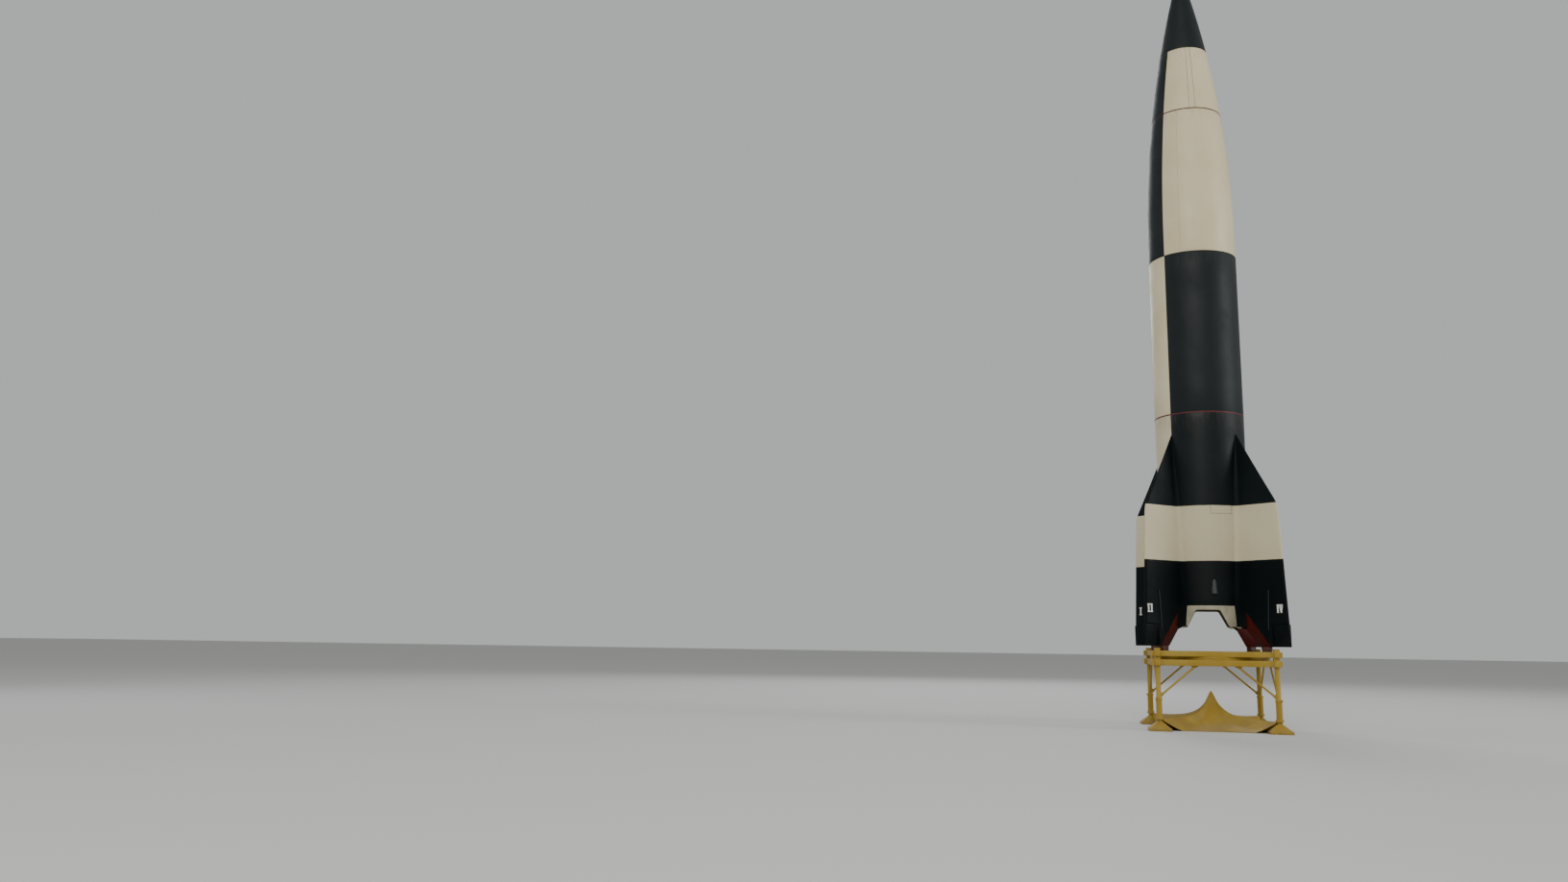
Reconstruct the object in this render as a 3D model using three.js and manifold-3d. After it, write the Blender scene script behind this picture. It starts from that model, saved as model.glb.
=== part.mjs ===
// A tall single-stage liquid-fuel rocket with four fins, standing on its steel launch stand.
// Millimetres, +Z up. The origin is on the ground under the middle of the stand.
// The stand is square to X and Y, and the fins lie on its diagonals.
import * as THREE from "three";
import { mergeVertices } from "three/addons/utils/BufferGeometryUtils.js";
import Module from "manifold-3d";

const wasm = await Module();
wasm.setup();

// Driving sizes of the rocket. Heights named Z_ are above the fins' feet.
const STAND_TOP = 1530;
const Z_TIP = 14036;
const Z_FUZE = 13850;
const Z_NOSE = 12026;
const Z_INSTRUMENTS = 10616;
const Z_CENTRE = 7593;
const Z_TAIL = 4401;
const Z_OGIVE = 8000;
const Z_BULKHEAD = 4250;
const Z_ENGINE = 2450;
const Z_SKIRT_TOP = 750;
const Z_SKIRT_BOTTOM = 365;
const BODY_RADIUS = 825.5;
const TAIL_END_RADIUS = 705;
const SKIRT_END_RADIUS = 699;
const TAIL_WALL = 25;
const SKIRT_WALL = 15;
const NOTCH_TOP_Z = 672;
const NOTCH_TOP_HALF = 212;
const NOTCH_LOW_HALF = 380;
const ROUND = 64;
// The notches lie one step of the round off the middle between two fins.
const NOTCH_TURN = -360 / ROUND;
const GAP = 0.3;

// The four corners carry the fins, rudders, legs and feet, numbered as the fins are.
const CORNERS = [
  { number: 1, azimuth: 45 },
  { number: 2, azimuth: 135 },
  { number: 3, azimuth: 225 },
  { number: 4, azimuth: 315 },
];
const SIDES = [
  { side: "front", turn: 0 },
  { side: "right", turn: 90 },
  { side: "back", turn: 180 },
  { side: "left", turn: 270 },
];

// Fins: radius along the diagonal, height above the fins' feet.
const FIN_APEX_Z = 3990;
const FIN_SHOULDER_Z = 2615;
const FIN_BAND_Z = 1578;
const FIN_BAND_R = 1702;
const FIN_FOOT_R = 1780;
const TRAILING_TOP = [919, 620];
const TRAILING_OUT = [1395, 0];
const TRAILING_IN = [1120, 0];
const TRAILING_HEEL = [868, 310];
const TRAILING_STEP = [900, 360];
const TRAILING_EDGE = 10;
const DRIVE_COVER_LOW = [1365, 300];
const DRIVE_COVER_HIGH = [1405, 1030];
const DRIVE_COVER_WIDTH = 24;
const DRIVE_COVER_HALF = 62;

// Air rudders in the fins' outer lower corners.
const RUDDER_R = 1440;
const RUDDER_GAP = 7;
const RUDDER_TOP_Z = 420;
const RUDDER_AXIS_Z = 368;
const RUDDER_SHAFT = 12;
const RUDDER_SHAFT_LENGTH = 90;
const SHAFT_SIDES = 16;

// Small scoop-shaped covers low on the tail, front and back. Columns: radius, height.
const SCOOP_AZIMUTH = -85;
const SCOOP_INSET = 8;
const SCOOP_PROFILE = [
  [0, 965],
  [54, 965],
  [52, 1010],
  [45, 1110],
  [32, 1195],
  [18, 1228],
  [0, 1238],
];

// Stand: heights above the ground, places from its middle.
const CORNER = 1030;
const POST = 104;
const POST_TOP = 1490;
const RAIL_END = 1128;
const RAIL_WIDTH = 90;
const UPPER_TOP = 1440;
const UPPER_BOTTOM = 1340;
const LOWER_TOP = 1280;
const LOWER_BOTTOM = 1170;
const RING_OUTER = 1080;
const RING_INNER = 950;
const LEG_UPPER_RADIUS = 44;
const LEG_LOWER_RADIUS = 54;
const COLLAR_RADIUS = 61;
const COLLAR_Z = 575;
const COLLAR_HEIGHT = 40;
const NECK_BOTTOM = 165;
const NECK_RADIUS = 46;
const FLANGE_RADIUS = 70;
const FLANGE_LOW = 205;
const FLANGE_TOP = 250;
const PLATE = 400;
const PLATE_THICK = 50;
const FOOT_LOW_HALF = 195;
const FOOT_HIGH_HALF = 50;
const BRACE_RADIUS = 19;
const BRACE_TOP = [309, 1218];
const BRACE_LOW_Z = 600;
const BEARER_R = 1270;
const BEARER_WIDTH = 110;
const BEARER_DEPTH = 80;
const BEARER_LENGTH = 460;
const PAD_LENGTH = 170;
const PAD_HALF_LOW = 64;
const PAD_HALF_HIGH = 48;
const DEFLECTOR_SHEET = 14;

const ivory = paint(0xe8e2d2, 0.55, 0);
const black = paint(0x1b2426, 0.4, 0);
const yellow = paint(0xe0b44c, 0.6, 0);
const brown = paint(0x3a1c16, 0.7, 0);
const steel = paint(0x8a8c8c, 0.4, 0.9);
const bare = paint(0x5f5a54, 0.6, 0.6);

// One painted finish.
function paint(color, roughness, metalness) {
  return new THREE.MeshStandardMaterial({ color, roughness, metalness });
}

// A closed geometry as a solid that can be joined and cut.
function solid(geometry) {
  const bareGeometry = geometry.index ? geometry.toNonIndexed() : geometry.clone();
  bareGeometry.deleteAttribute("normal");
  bareGeometry.deleteAttribute("uv");
  const merged = mergeVertices(bareGeometry, 1e-3);
  const vertProperties = merged.attributes.position.array;
  const triVerts = new Uint32Array(merged.index.array);
  return new wasm.Manifold(new wasm.Mesh({ numProp: 3, vertProperties, triVerts }));
}

// A solid's surface as a three.js geometry.
function surface(made) {
  const mesh = made.getMesh();
  const places = new Float32Array(mesh.numVert * 3);
  for (let i = 0; i < mesh.numVert; i++) {
    places.set(mesh.vertProperties.subarray(i * mesh.numProp, i * mesh.numProp + 3), i * 3);
  }
  const made3d = new THREE.BufferGeometry();
  made3d.setAttribute("position", new THREE.BufferAttribute(places, 3));
  made3d.setIndex(new THREE.BufferAttribute(mesh.triVerts, 1));
  made3d.computeVertexNormals();
  return made3d;
}

// A solid of revolution about Z from [radius, height] pairs, given from the bottom up on its outside.
function turned(profile, segments = ROUND) {
  const points = profile.map(([radius, height]) => new THREE.Vector2(radius, height));
  return solid(new THREE.LatheGeometry(points, segments).rotateX(Math.PI / 2));
}

// A box between two corners.
function block(low, high) {
  const size = high.map((value, i) => value - low[i]);
  const middle = high.map((value, i) => (value + low[i]) / 2);
  return solid(new THREE.BoxGeometry(...size).translate(...middle));
}

// A plate in the radius-height plane, of a given half thickness to each side of it.
function plate(outline, from, to) {
  const shape = new THREE.Shape(outline.map(([r, z]) => new THREE.Vector2(r, z)));
  const flat = new THREE.ExtrudeGeometry(shape, { depth: to - from, bevelEnabled: false });
  return solid(flat.translate(0, 0, from).rotateX(Math.PI / 2));
}

// A round bar between two points.
function bar(from, to, radius, sides) {
  const start = new THREE.Vector3(...from);
  const run = new THREE.Vector3(...to).sub(start);
  const round = new THREE.CylinderGeometry(radius, radius, run.length(), sides);
  const turn = new THREE.Quaternion().setFromUnitVectors(
    new THREE.Vector3(0, 1, 0),
    run.clone().normalize(),
  );
  round.applyQuaternion(turn);
  const middle = start.addScaledVector(run, 0.5);
  return solid(round.translate(middle.x, middle.y, middle.z));
}

// A skin over stacked rings that have the same number of points, closed at both ends.
function stacked(rings) {
  const count = rings[0].length;
  const places = rings.flat(2);
  const faces = [];
  for (let i = 0; i + 1 < rings.length; i++) {
    for (let j = 0; j < count; j++) {
      const a = i * count + j;
      const b = i * count + ((j + 1) % count);
      faces.push(a, b, b + count, a, b + count, a + count);
    }
  }
  const last = (rings.length - 1) * count;
  for (let j = 1; j + 1 < count; j++) {
    faces.push(0, j + 1, j);
    faces.push(last, last + j, last + j + 1);
  }
  const skin = new THREE.BufferGeometry();
  skin.setAttribute("position", new THREE.Float32BufferAttribute(places, 3));
  skin.setIndex(faces);
  return solid(skin);
}

// The straight-line value at x between known [x, y] pairs, which go down in x.
function between(table, x) {
  for (let i = 0; i + 1 < table.length; i++) {
    const [x0, y0] = table[i];
    const [x1, y1] = table[i + 1];
    if (x <= x0 && x >= x1) return y0 + ((y1 - y0) * (x0 - x)) / (x0 - x1);
  }
  return x > table[0][0] ? table[0][1] : table[table.length - 1][1];
}

// Body radius at a height above the fins' feet: boat tail, straight middle, tangent ogive.
function bodyRadius(z) {
  if (z <= Z_SKIRT_TOP) {
    const share = (Z_SKIRT_TOP - z) / (Z_SKIRT_TOP - Z_SKIRT_BOTTOM);
    return TAIL_END_RADIUS - (TAIL_END_RADIUS - SKIRT_END_RADIUS) * Math.min(share, 1);
  }
  if (z < Z_TAIL) {
    const share = (Z_TAIL - z) / (Z_TAIL - Z_SKIRT_TOP);
    return BODY_RADIUS - (BODY_RADIUS - TAIL_END_RADIUS) * share * share;
  }
  if (z <= Z_OGIVE) return BODY_RADIUS;
  const length = Z_TIP - Z_OGIVE;
  const arc = (length * length + BODY_RADIUS * BODY_RADIUS) / (2 * BODY_RADIUS);
  const rise = z - Z_OGIVE;
  return BODY_RADIUS - (arc - Math.sqrt(arc * arc - rise * rise));
}

// Heights that divide a stretch evenly.
function steps(from, to, count) {
  return Array.from({ length: count + 1 }, (_, i) => from + ((to - from) * i) / count);
}

// A solid slice of the body between two heights.
function bodySlice(from, to, count) {
  const side = steps(from, to, count).map((z) => [bodyRadius(z), z + STAND_TOP]);
  return turned([[0, from + STAND_TOP], ...side, [0, to + STAND_TOP]]);
}

// The heights at which the tail's skin is drawn.
function tailHeights() {
  return steps(Z_SKIRT_TOP, Z_TAIL, 10);
}

// The room that the tail and its skirt take from what stands on their skin.
function tailRoom() {
  const heights = [-50, Z_SKIRT_BOTTOM, ...tailHeights()];
  const side = heights.map((z) => [bodyRadius(z) + GAP, z + STAND_TOP]);
  return turned([[0, STAND_TOP - 50], ...side, [0, STAND_TOP + Z_TAIL]]);
}

// The two long halves of a slice of the body, split on the plane of fins 1 and 3.
function bodyHalves(from, to, count) {
  const whole = bodySlice(from, to, count);
  const reach = 2 * BODY_RADIUS;
  const half = (side) => {
    const low = side > 0 ? [GAP / 2, -reach, 0] : [-reach, -reach, 0];
    const high = side > 0 ? [reach, reach, 20000] : [-GAP / 2, reach, 20000];
    return whole.intersect(block(low, high).rotate([0, 0, -45]));
  };
  return { right: half(1), left: half(-1) };
}

function noseCone() {
  return bodySlice(Z_NOSE, Z_FUZE, 8);
}

// The fuze: a short collar on the nose and a blunt point.
function noseTip() {
  const low = Z_FUZE + STAND_TOP;
  const neck = bodyRadius(Z_FUZE);
  return turned(
    [
      [0, low],
      [neck, low],
      [neck * 0.86, low + 60],
      [neck * 0.5, low + 120],
      [neck * 0.42, Z_TIP + STAND_TOP - 12],
      [neck * 0.2, Z_TIP + STAND_TOP],
      [0, Z_TIP + STAND_TOP],
    ],
    32,
  );
}

// The tail's hollow body, open at the bottom, with the bulkhead that carries the engine.
function tailShell() {
  const outside = tailHeights().map((z) => [bodyRadius(z), z + STAND_TOP]);
  const inside = steps(Z_BULKHEAD, Z_SKIRT_TOP, 6).map((z) => [
    bodyRadius(z) - TAIL_WALL,
    z + STAND_TOP,
  ]);
  const axis = [
    [0, Z_TAIL + STAND_TOP],
    [0, Z_BULKHEAD + STAND_TOP],
  ];
  return turned([...outside, ...axis, ...inside, outside[0]]);
}

// The skirt below the tail: a ring, and under each fin a leaf. The notches between the leaves
// widen downward. The leaf is drawn at +X +Y and turned to its place.
function tailSkirt() {
  const top = Z_SKIRT_TOP + STAND_TOP;
  const bottom = Z_SKIRT_BOTTOM + STAND_TOP;
  const ring = turned([
    [SKIRT_END_RADIUS, bottom],
    [TAIL_END_RADIUS, top],
    [TAIL_END_RADIUS - SKIRT_WALL, top],
    [SKIRT_END_RADIUS - SKIRT_WALL, bottom],
    [SKIRT_END_RADIUS, bottom],
  ]);
  const notchTop = NOTCH_TOP_Z + STAND_TOP;
  const notch = [
    [-NOTCH_LOW_HALF, bottom - 20],
    [NOTCH_LOW_HALF, bottom - 20],
    [NOTCH_TOP_HALF, notchTop],
    [-NOTCH_TOP_HALF, notchTop],
  ];
  const through = plate(notch, -1000, 1000);
  const notched = ring.subtract(through).subtract(through.rotate([0, 0, 90]));
  const above = block([-1000, -1000, notchTop], [1000, 1000, top + 10]);
  const below = block([0, 0, bottom - 10], [1000, 1000, notchTop - GAP]);
  return { ring: notched.intersect(above), leaf: notched.intersect(below) };
}

// The thrust chamber with its bell, hollow and open at the bottom.
function thrustChamber() {
  const outside = [
    [400, 720],
    [345, 930],
    [290, 1150],
    [242, 1300],
    [240, 1400],
    [400, 1580],
    [500, 1800],
    [505, 2120],
    [430, 2350],
    [320, 2450],
  ];
  const inside = [
    [360, 2330],
    [465, 2110],
    [460, 1810],
    [360, 1600],
    [200, 1400],
    [200, 1300],
    [258, 1140],
    [318, 930],
    [370, 720],
  ];
  const lift = ([radius, z]) => [radius, z + STAND_TOP];
  const crown = [
    [0, 2450],
    [0, 2370],
  ];
  return turned([...outside, ...crown, ...inside, outside[0]].map(lift), 48);
}

// The turbopump, its frame and tanks: one plain block under the bulkhead.
function engineBlock() {
  const low = Z_ENGINE + STAND_TOP;
  const high = Z_BULKHEAD + STAND_TOP;
  return turned(
    [
      [0, low],
      [420, low],
      [420, high],
      [0, high],
    ],
    24,
  );
}

// A small half-round cover that stands on the tail's skin and is widest at its lower end.
function scoop(azimuth) {
  const middle = bodyRadius(SCOOP_PROFILE[3][1]) - SCOOP_INSET;
  const whole = turned(SCOOP_PROFILE.map(([radius, z]) => [radius, z + STAND_TOP]), 24);
  return whole.translate([middle, 0, 0]).rotate([0, 0, azimuth]).subtract(tailRoom());
}

// Fin sections from the apex down. Columns: height, outer radius, half width at the body,
// reach of the root fairing, half thickness at its end, half thickness at the outer edge.
const FIN_SECTIONS = [
  [FIN_APEX_Z, 832, 10, 4, 8, 6],
  [3600, 1053, 46, 44, 28, 12],
  [3100, 1342, 82, 74, 42, 18],
  [2760, 1542, 106, 92, 52, 22],
  [2660, 1600, 111, 97, 54, 23],
  [FIN_SHOULDER_Z, 1621, 112, 100, 56, 24],
  [2560, 1636, 112, 103, 57, 24],
  [2450, 1652, 110, 108, 58, 25],
  [2250, 1666, 108, 115, 61, 26],
  [FIN_BAND_Z, FIN_BAND_R, 104, 130, 70, 30],
  [Z_SKIRT_TOP, 1741, 101, 130, 72, 32],
  [RUDDER_TOP_Z, 1757, 62, 130, 72, 33],
  [0, FIN_FOOT_R, 45, 130, 72, 33],
];

// Half thickness of a fin face at a radius and height.
function finHalf(r, z) {
  const rows = (column) => FIN_SECTIONS.map((row) => [row[0], row[column]]);
  const outer = between(rows(1), z);
  const start = bodyRadius(z) + between(rows(3), z);
  const share = Math.min(Math.max((r - start) / (outer - 50 - start), 0), 1);
  return between(rows(4), z) * (1 - share) + between(rows(5), z) * share;
}

// One level cut through a fin: root inside the body, fairing, flat face, rounded outer edge.
function finRing([z, outer, rootHalf, fairing, half, outerHalf]) {
  const body = bodyRadius(z);
  const nose = Math.min(50, 0.2 * (outer - body));
  const side = [
    [body - 150, rootHalf],
    [body, rootHalf],
    [body + fairing * 0.35, half + (rootHalf - half) * 0.4],
    [body + fairing, half],
    [outer - nose, outerHalf],
    [outer - nose * 0.3, outerHalf * 0.7],
  ];
  const mirrored = side.map(([r, w]) => [r, -w]);
  const around = [...mirrored, [outer, 0], ...side.reverse()];
  return around.map(([r, w]) => [r, w, z]);
}

// What is cut from one face so that it runs down to the trailing edge.
function trailingCut(side) {
  const outline = [
    TRAILING_TOP,
    [TRAILING_OUT[0] + 15, -20],
    [TRAILING_IN[0] - 200, -20],
    [TRAILING_HEEL[0] - 200, TRAILING_STEP[1]],
    TRAILING_STEP,
  ];
  const whole = plate(outline, -200, 200);
  const place = ([r, z], w) => new THREE.Vector3(r, w * side, z);
  const a = place(TRAILING_TOP, finHalf(...TRAILING_TOP));
  const b = place(TRAILING_OUT, finHalf(...TRAILING_OUT));
  const c = place([(TRAILING_IN[0] + TRAILING_HEEL[0]) / 2, 155], TRAILING_EDGE);
  const normal = new THREE.Plane().setFromCoplanarPoints(a, b, c).normal;
  if (normal.y * side < 0) normal.negate();
  const depth = 400;
  const cutter = new THREE.BoxGeometry(3000, depth, 3000).translate(0, depth / 2, 0);
  const turn = new THREE.Quaternion().setFromUnitVectors(new THREE.Vector3(0, 1, 0), normal);
  cutter.applyQuaternion(turn).translate(a.x, a.y, a.z);
  return whole.intersect(solid(cutter));
}

// The corner of the fin that the rudder fills, and the bore for its shaft.
function rudderRoom() {
  const corner = plate(
    [
      [RUDDER_R - RUDDER_GAP, -20],
      [2000, -20],
      [2000, RUDDER_TOP_Z],
      [RUDDER_R - RUDDER_GAP, RUDDER_TOP_Z],
    ],
    -200,
    200,
  );
  const boreRadius = (RUDDER_SHAFT + GAP) / Math.cos(Math.PI / SHAFT_SIDES);
  const boreEnd = RUDDER_R - RUDDER_GAP - RUDDER_SHAFT_LENGTH;
  const bore = bar([boreEnd, 0, RUDDER_AXIS_Z], [RUDDER_R, 0, RUDDER_AXIS_Z], boreRadius, SHAFT_SIDES);
  return corner.add(bore);
}

// A fin in its own plane: X is the radius, Y its thickness, Z above the fins' feet.
function fin() {
  const rings = FIN_SECTIONS.map(finRing).reverse();
  const body = tailRoom().translate([0, 0, -STAND_TOP]);
  const underside = plate(
    [
      [300, -50],
      [TRAILING_IN[0], -50],
      TRAILING_IN,
      TRAILING_HEEL,
      [690, TRAILING_STEP[1]],
      [300, TRAILING_STEP[1]],
    ],
    -300,
    300,
  );
  const halfCover = DRIVE_COVER_WIDTH / 2;
  const cover = plate(
    [
      [DRIVE_COVER_LOW[0] - halfCover, DRIVE_COVER_LOW[1]],
      [DRIVE_COVER_LOW[0] + halfCover, DRIVE_COVER_LOW[1]],
      [DRIVE_COVER_HIGH[0] + halfCover, DRIVE_COVER_HIGH[1]],
      [DRIVE_COVER_HIGH[0] - halfCover, DRIVE_COVER_HIGH[1]],
    ],
    -DRIVE_COVER_HALF,
    DRIVE_COVER_HALF,
  );
  return stacked(rings)
    .subtract(body)
    .subtract(underside)
    .subtract(trailingCut(1))
    .subtract(trailingCut(-1))
    .add(cover)
    .subtract(rudderRoom());
}

// A rudder with its shaft: a round nose about the axis and a wedge down to the foot.
function rudder() {
  const outer = FIN_FOOT_R + 20;
  const ring = (r) => {
    const nose = finHalf(r, RUDDER_TOP_Z);
    const arc = steps(0, Math.PI, 8).map((angle) => [
      r,
      nose * Math.cos(angle),
      RUDDER_AXIS_Z + nose * Math.sin(angle),
    ]);
    return [[r, -6, 0], [r, 6, 0], ...arc];
  };
  const blade = stacked([ring(RUDDER_R), ring(outer)]);
  const outline = plate(
    [
      [RUDDER_R, 0],
      [FIN_FOOT_R, 0],
      [1757, RUDDER_TOP_Z],
      [RUDDER_R, RUDDER_TOP_Z],
    ],
    -200,
    200,
  );
  const shaftEnd = RUDDER_R - RUDDER_SHAFT_LENGTH;
  const inside = [RUDDER_R + 60, 0, RUDDER_AXIS_Z];
  const shaft = bar([shaftEnd, 0, RUDDER_AXIS_Z], inside, RUDDER_SHAFT, SHAFT_SIDES);
  return blade.intersect(outline).add(shaft);
}

// A corner post with the stub ends of the rails that pass it. Drawn for the corner at +X +Y.
function cornerPost() {
  const low = CORNER - POST / 2;
  const high = CORNER + POST / 2;
  const halfRail = RAIL_WIDTH / 2;
  let post = block([low, low, LOWER_BOTTOM], [high, high, POST_TOP]);
  for (const [bottom, top] of [
    [LOWER_BOTTOM, LOWER_TOP],
    [UPPER_BOTTOM, UPPER_TOP],
  ]) {
    const stubX = block([CORNER, CORNER - halfRail, bottom], [RAIL_END, CORNER + halfRail, top]);
    const stubY = block([CORNER - halfRail, CORNER, bottom], [CORNER + halfRail, RAIL_END, top]);
    post = post.add(stubX).add(stubY);
  }
  return post;
}

// A rail of the front side, between two corner posts.
function rail(bottom, top) {
  const reach = CORNER - POST / 2;
  const halfRail = RAIL_WIDTH / 2;
  return block([-reach, -CORNER - halfRail, bottom], [reach, -CORNER + halfRail, top]);
}

function turntableRing() {
  return turned([
    [RING_OUTER, LOWER_TOP],
    [RING_OUTER, UPPER_BOTTOM],
    [RING_INNER, UPPER_BOTTOM],
    [RING_INNER, LOWER_TOP],
    [RING_OUTER, LOWER_TOP],
  ]);
}

// A leg: a slim tube that slides in a stout one, with the clamp collar between them.
function leg(extra = 0) {
  const collarLow = COLLAR_Z - COLLAR_HEIGHT / 2;
  const collarHigh = COLLAR_Z + COLLAR_HEIGHT / 2;
  return turned(
    [
      [0, FLANGE_TOP],
      [LEG_LOWER_RADIUS + extra, FLANGE_TOP],
      [LEG_LOWER_RADIUS + extra, collarLow],
      [COLLAR_RADIUS + extra, collarLow],
      [COLLAR_RADIUS + extra, collarHigh],
      [LEG_UPPER_RADIUS + extra, collarHigh],
      [LEG_UPPER_RADIUS + extra, LOWER_BOTTOM],
      [0, LOWER_BOTTOM],
    ],
    24,
  );
}

// A foot: square plate, low pyramid, neck and flange.
function foot() {
  const half = PLATE / 2;
  const square = (size, z) => [
    [-size, -size, z],
    [size, -size, z],
    [size, size, z],
    [-size, size, z],
  ];
  const taper = stacked([square(FOOT_LOW_HALF, PLATE_THICK - 5), square(FOOT_HIGH_HALF, NECK_BOTTOM)]);
  const neck = turned(
    [
      [0, NECK_BOTTOM - 10],
      [NECK_RADIUS, NECK_BOTTOM - 10],
      [NECK_RADIUS, FLANGE_LOW],
      [FLANGE_RADIUS, FLANGE_LOW],
      [FLANGE_RADIUS, FLANGE_TOP],
      [0, FLANGE_TOP],
    ],
    24,
  );
  return block([-half, -half, 0], [half, half, PLATE_THICK]).add(taper).add(neck);
}

// A brace on the front side, from the lower rail down to the leg at that end.
function brace(end) {
  const top = [end * BRACE_TOP[0], -CORNER, BRACE_TOP[1]];
  const bottom = [end * CORNER, -CORNER, BRACE_LOW_Z];
  const legHere = leg(GAP).translate([end * CORNER, -CORNER, 0]);
  const above = block([-2000, -2000, LOWER_BOTTOM - GAP], [2000, 2000, 2000]);
  return bar(top, bottom, BRACE_RADIUS, 12).subtract(legHere).subtract(above);
}

// The bearer across a corner of the upper frame with the pad that carries a fin's foot.
// X is the diagonal of that corner.
function finBearer() {
  const halfWidth = BEARER_WIDTH / 2;
  const halfLength = BEARER_LENGTH / 2;
  const beamLow = UPPER_TOP - BEARER_DEPTH;
  const beam = block(
    [BEARER_R - halfWidth, -halfLength, beamLow],
    [BEARER_R + halfWidth, halfLength, UPPER_TOP],
  );
  const padRing = (half, length, z) => [
    [BEARER_R - length / 2, -half, z],
    [BEARER_R + length / 2, -half, z],
    [BEARER_R + length / 2, half, z],
    [BEARER_R - length / 2, half, z],
  ];
  const pad = stacked([
    padRing(PAD_HALF_LOW, BEARER_WIDTH, UPPER_TOP - 10),
    padRing(PAD_HALF_HIGH, PAD_LENGTH, STAND_TOP),
  ]);
  const inner = CORNER - RAIL_WIDTH / 2 - GAP;
  const room = block([-inner, -inner, 0], [inner, inner, 2000]).rotate([0, 0, 45]);
  return beam.intersect(room).add(pad);
}

// Levels of the deflector's sheet, from its rim to its point.
// Columns: half width at the sides, height there, half width at the corners, height there.
const DEFLECTOR_LEVELS = [
  [945, 0, 1005, 200],
  [790, 18, 865, 201],
  [595, 62, 640, 208],
  [410, 132, 430, 240],
  [245, 242, 250, 318],
  [118, 402, 118, 448],
  [40, 592, 40, 612],
];
const DEFLECTOR_TOP = 700;
const DEFLECTOR_GROUND_SHARE = 0.66;

// The blast deflector: a concave four-sided cone of bent sheet whose corners rise to the feet.
function deflector() {
  const corners = [
    [-1, -1],
    [1, -1],
    [1, 1],
    [-1, 1],
  ];
  const level = ([half, sideZ, cornerHalf, cornerZ], lift) => {
    const points = [];
    corners.forEach(([x, y], i) => {
      const [nextX, nextY] = corners[(i + 1) % 4];
      points.push([x * cornerHalf, y * cornerHalf, cornerZ + lift]);
      for (const share of [-DEFLECTOR_GROUND_SHARE, 0, DEFLECTOR_GROUND_SHARE]) {
        const along = (share + 1) / 2;
        points.push([
          half * (x + (nextX - x) * along),
          half * (y + (nextY - y) * along),
          sideZ + lift,
        ]);
      }
    });
    return points;
  };
  const tip = (half, z) => level([half, z, half, z], 0);
  const inward = [...DEFLECTOR_LEVELS].reverse();
  const under = [tip(2, DEFLECTOR_TOP - 2 * DEFLECTOR_SHEET), ...inward.map((row) => level(row, 0))];
  const over = [...DEFLECTOR_LEVELS.map((row) => level(row, DEFLECTOR_SHEET)), tip(5, DEFLECTOR_TOP)];
  let sheet = stacked([...under, ...over]);
  for (const { azimuth } of CORNERS) {
    const flange = bar([0, 0, 0], [0, 0, 400], FLANGE_RADIUS + GAP, 24);
    const place = CORNER * Math.SQRT2;
    sheet = sheet.subtract(flange.translate([place, 0, 0]).rotate([0, 0, azimuth]));
  }
  return sheet;
}

const rocket = new THREE.Group();

// Adds one named piece, turned about Z by an azimuth in degrees.
function add(name, made, material, azimuth = 0) {
  const mesh = new THREE.Mesh(surface(made), material);
  mesh.name = name;
  mesh.rotation.z = THREE.MathUtils.degToRad(azimuth);
  rocket.add(mesh);
  return mesh;
}

// Body sections from the top down. Columns: name, low and high end, steps, right and left paint.
const SECTIONS = [
  ["instrument_shell", Z_INSTRUMENTS, Z_NOSE, 5, ivory, black],
  ["upper_centre_shell", Z_CENTRE, Z_INSTRUMENTS, 8, ivory, black],
  ["lower_centre_shell", Z_TAIL, Z_CENTRE, 1, black, ivory],
];

add("nose_tip", noseTip(), steel);
add("nose_cone", noseCone(), black);
for (const [name, low, high, count, right, left] of SECTIONS) {
  const halves = bodyHalves(low, high, count);
  add(name + "_right", halves.right, right);
  add(name + "_left", halves.left, left);
}
add("tail_shell", tailShell(), black);
const skirt = tailSkirt();
add("tail_skirt_ring", skirt.ring, ivory);
add("engine_block", engineBlock(), bare);
add("thrust_chamber", thrustChamber(), bare);
add("tail_cover_front", scoop(SCOOP_AZIMUTH), black);
add("tail_cover_back", scoop(SCOOP_AZIMUTH + 180), black);

const finSolid = fin().translate([0, 0, STAND_TOP]);
const rudderSolid = rudder().translate([0, 0, STAND_TOP]);
const bearerSolid = finBearer();
const legSolid = leg().translate([CORNER, CORNER, 0]);
const footSolid = foot().translate([CORNER, CORNER, 0]);
const postSolid = cornerPost();
for (const { number, azimuth } of CORNERS) {
  add("fin_" + number, finSolid, black, azimuth);
  add("rudder_" + number, rudderSolid, black, azimuth);
  add("fin_bearer_" + number, bearerSolid, brown, azimuth);
  const quarter = azimuth - 45;
  add("tail_skirt_leaf_" + number, skirt.leaf.rotate([0, 0, quarter + NOTCH_TURN]), ivory);
  add("corner_post_" + number, postSolid.rotate([0, 0, quarter]), yellow);
  add("leg_" + number, legSolid.rotate([0, 0, quarter]), yellow);
  add("foot_" + number, footSolid.rotate([0, 0, quarter]), yellow);
}
for (const { side, turn } of SIDES) {
  add("upper_rail_" + side, rail(UPPER_BOTTOM, UPPER_TOP).rotate([0, 0, turn]), yellow);
  add("lower_rail_" + side, rail(LOWER_BOTTOM, LOWER_TOP).rotate([0, 0, turn]), yellow);
  add("brace_" + side + "_a", brace(-1).rotate([0, 0, turn]), yellow);
  add("brace_" + side + "_b", brace(1).rotate([0, 0, turn]), yellow);
}
add("turntable_ring", turntableRing(), yellow);
add("blast_deflector", deflector(), yellow);

export default rocket;
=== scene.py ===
"""Dresses the tall liquid-fuel rocket and its launch stand. Metres, +Z up, fins on the diagonals."""
import math

import bmesh
import bpy
from mathutils import Matrix, Vector


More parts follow.
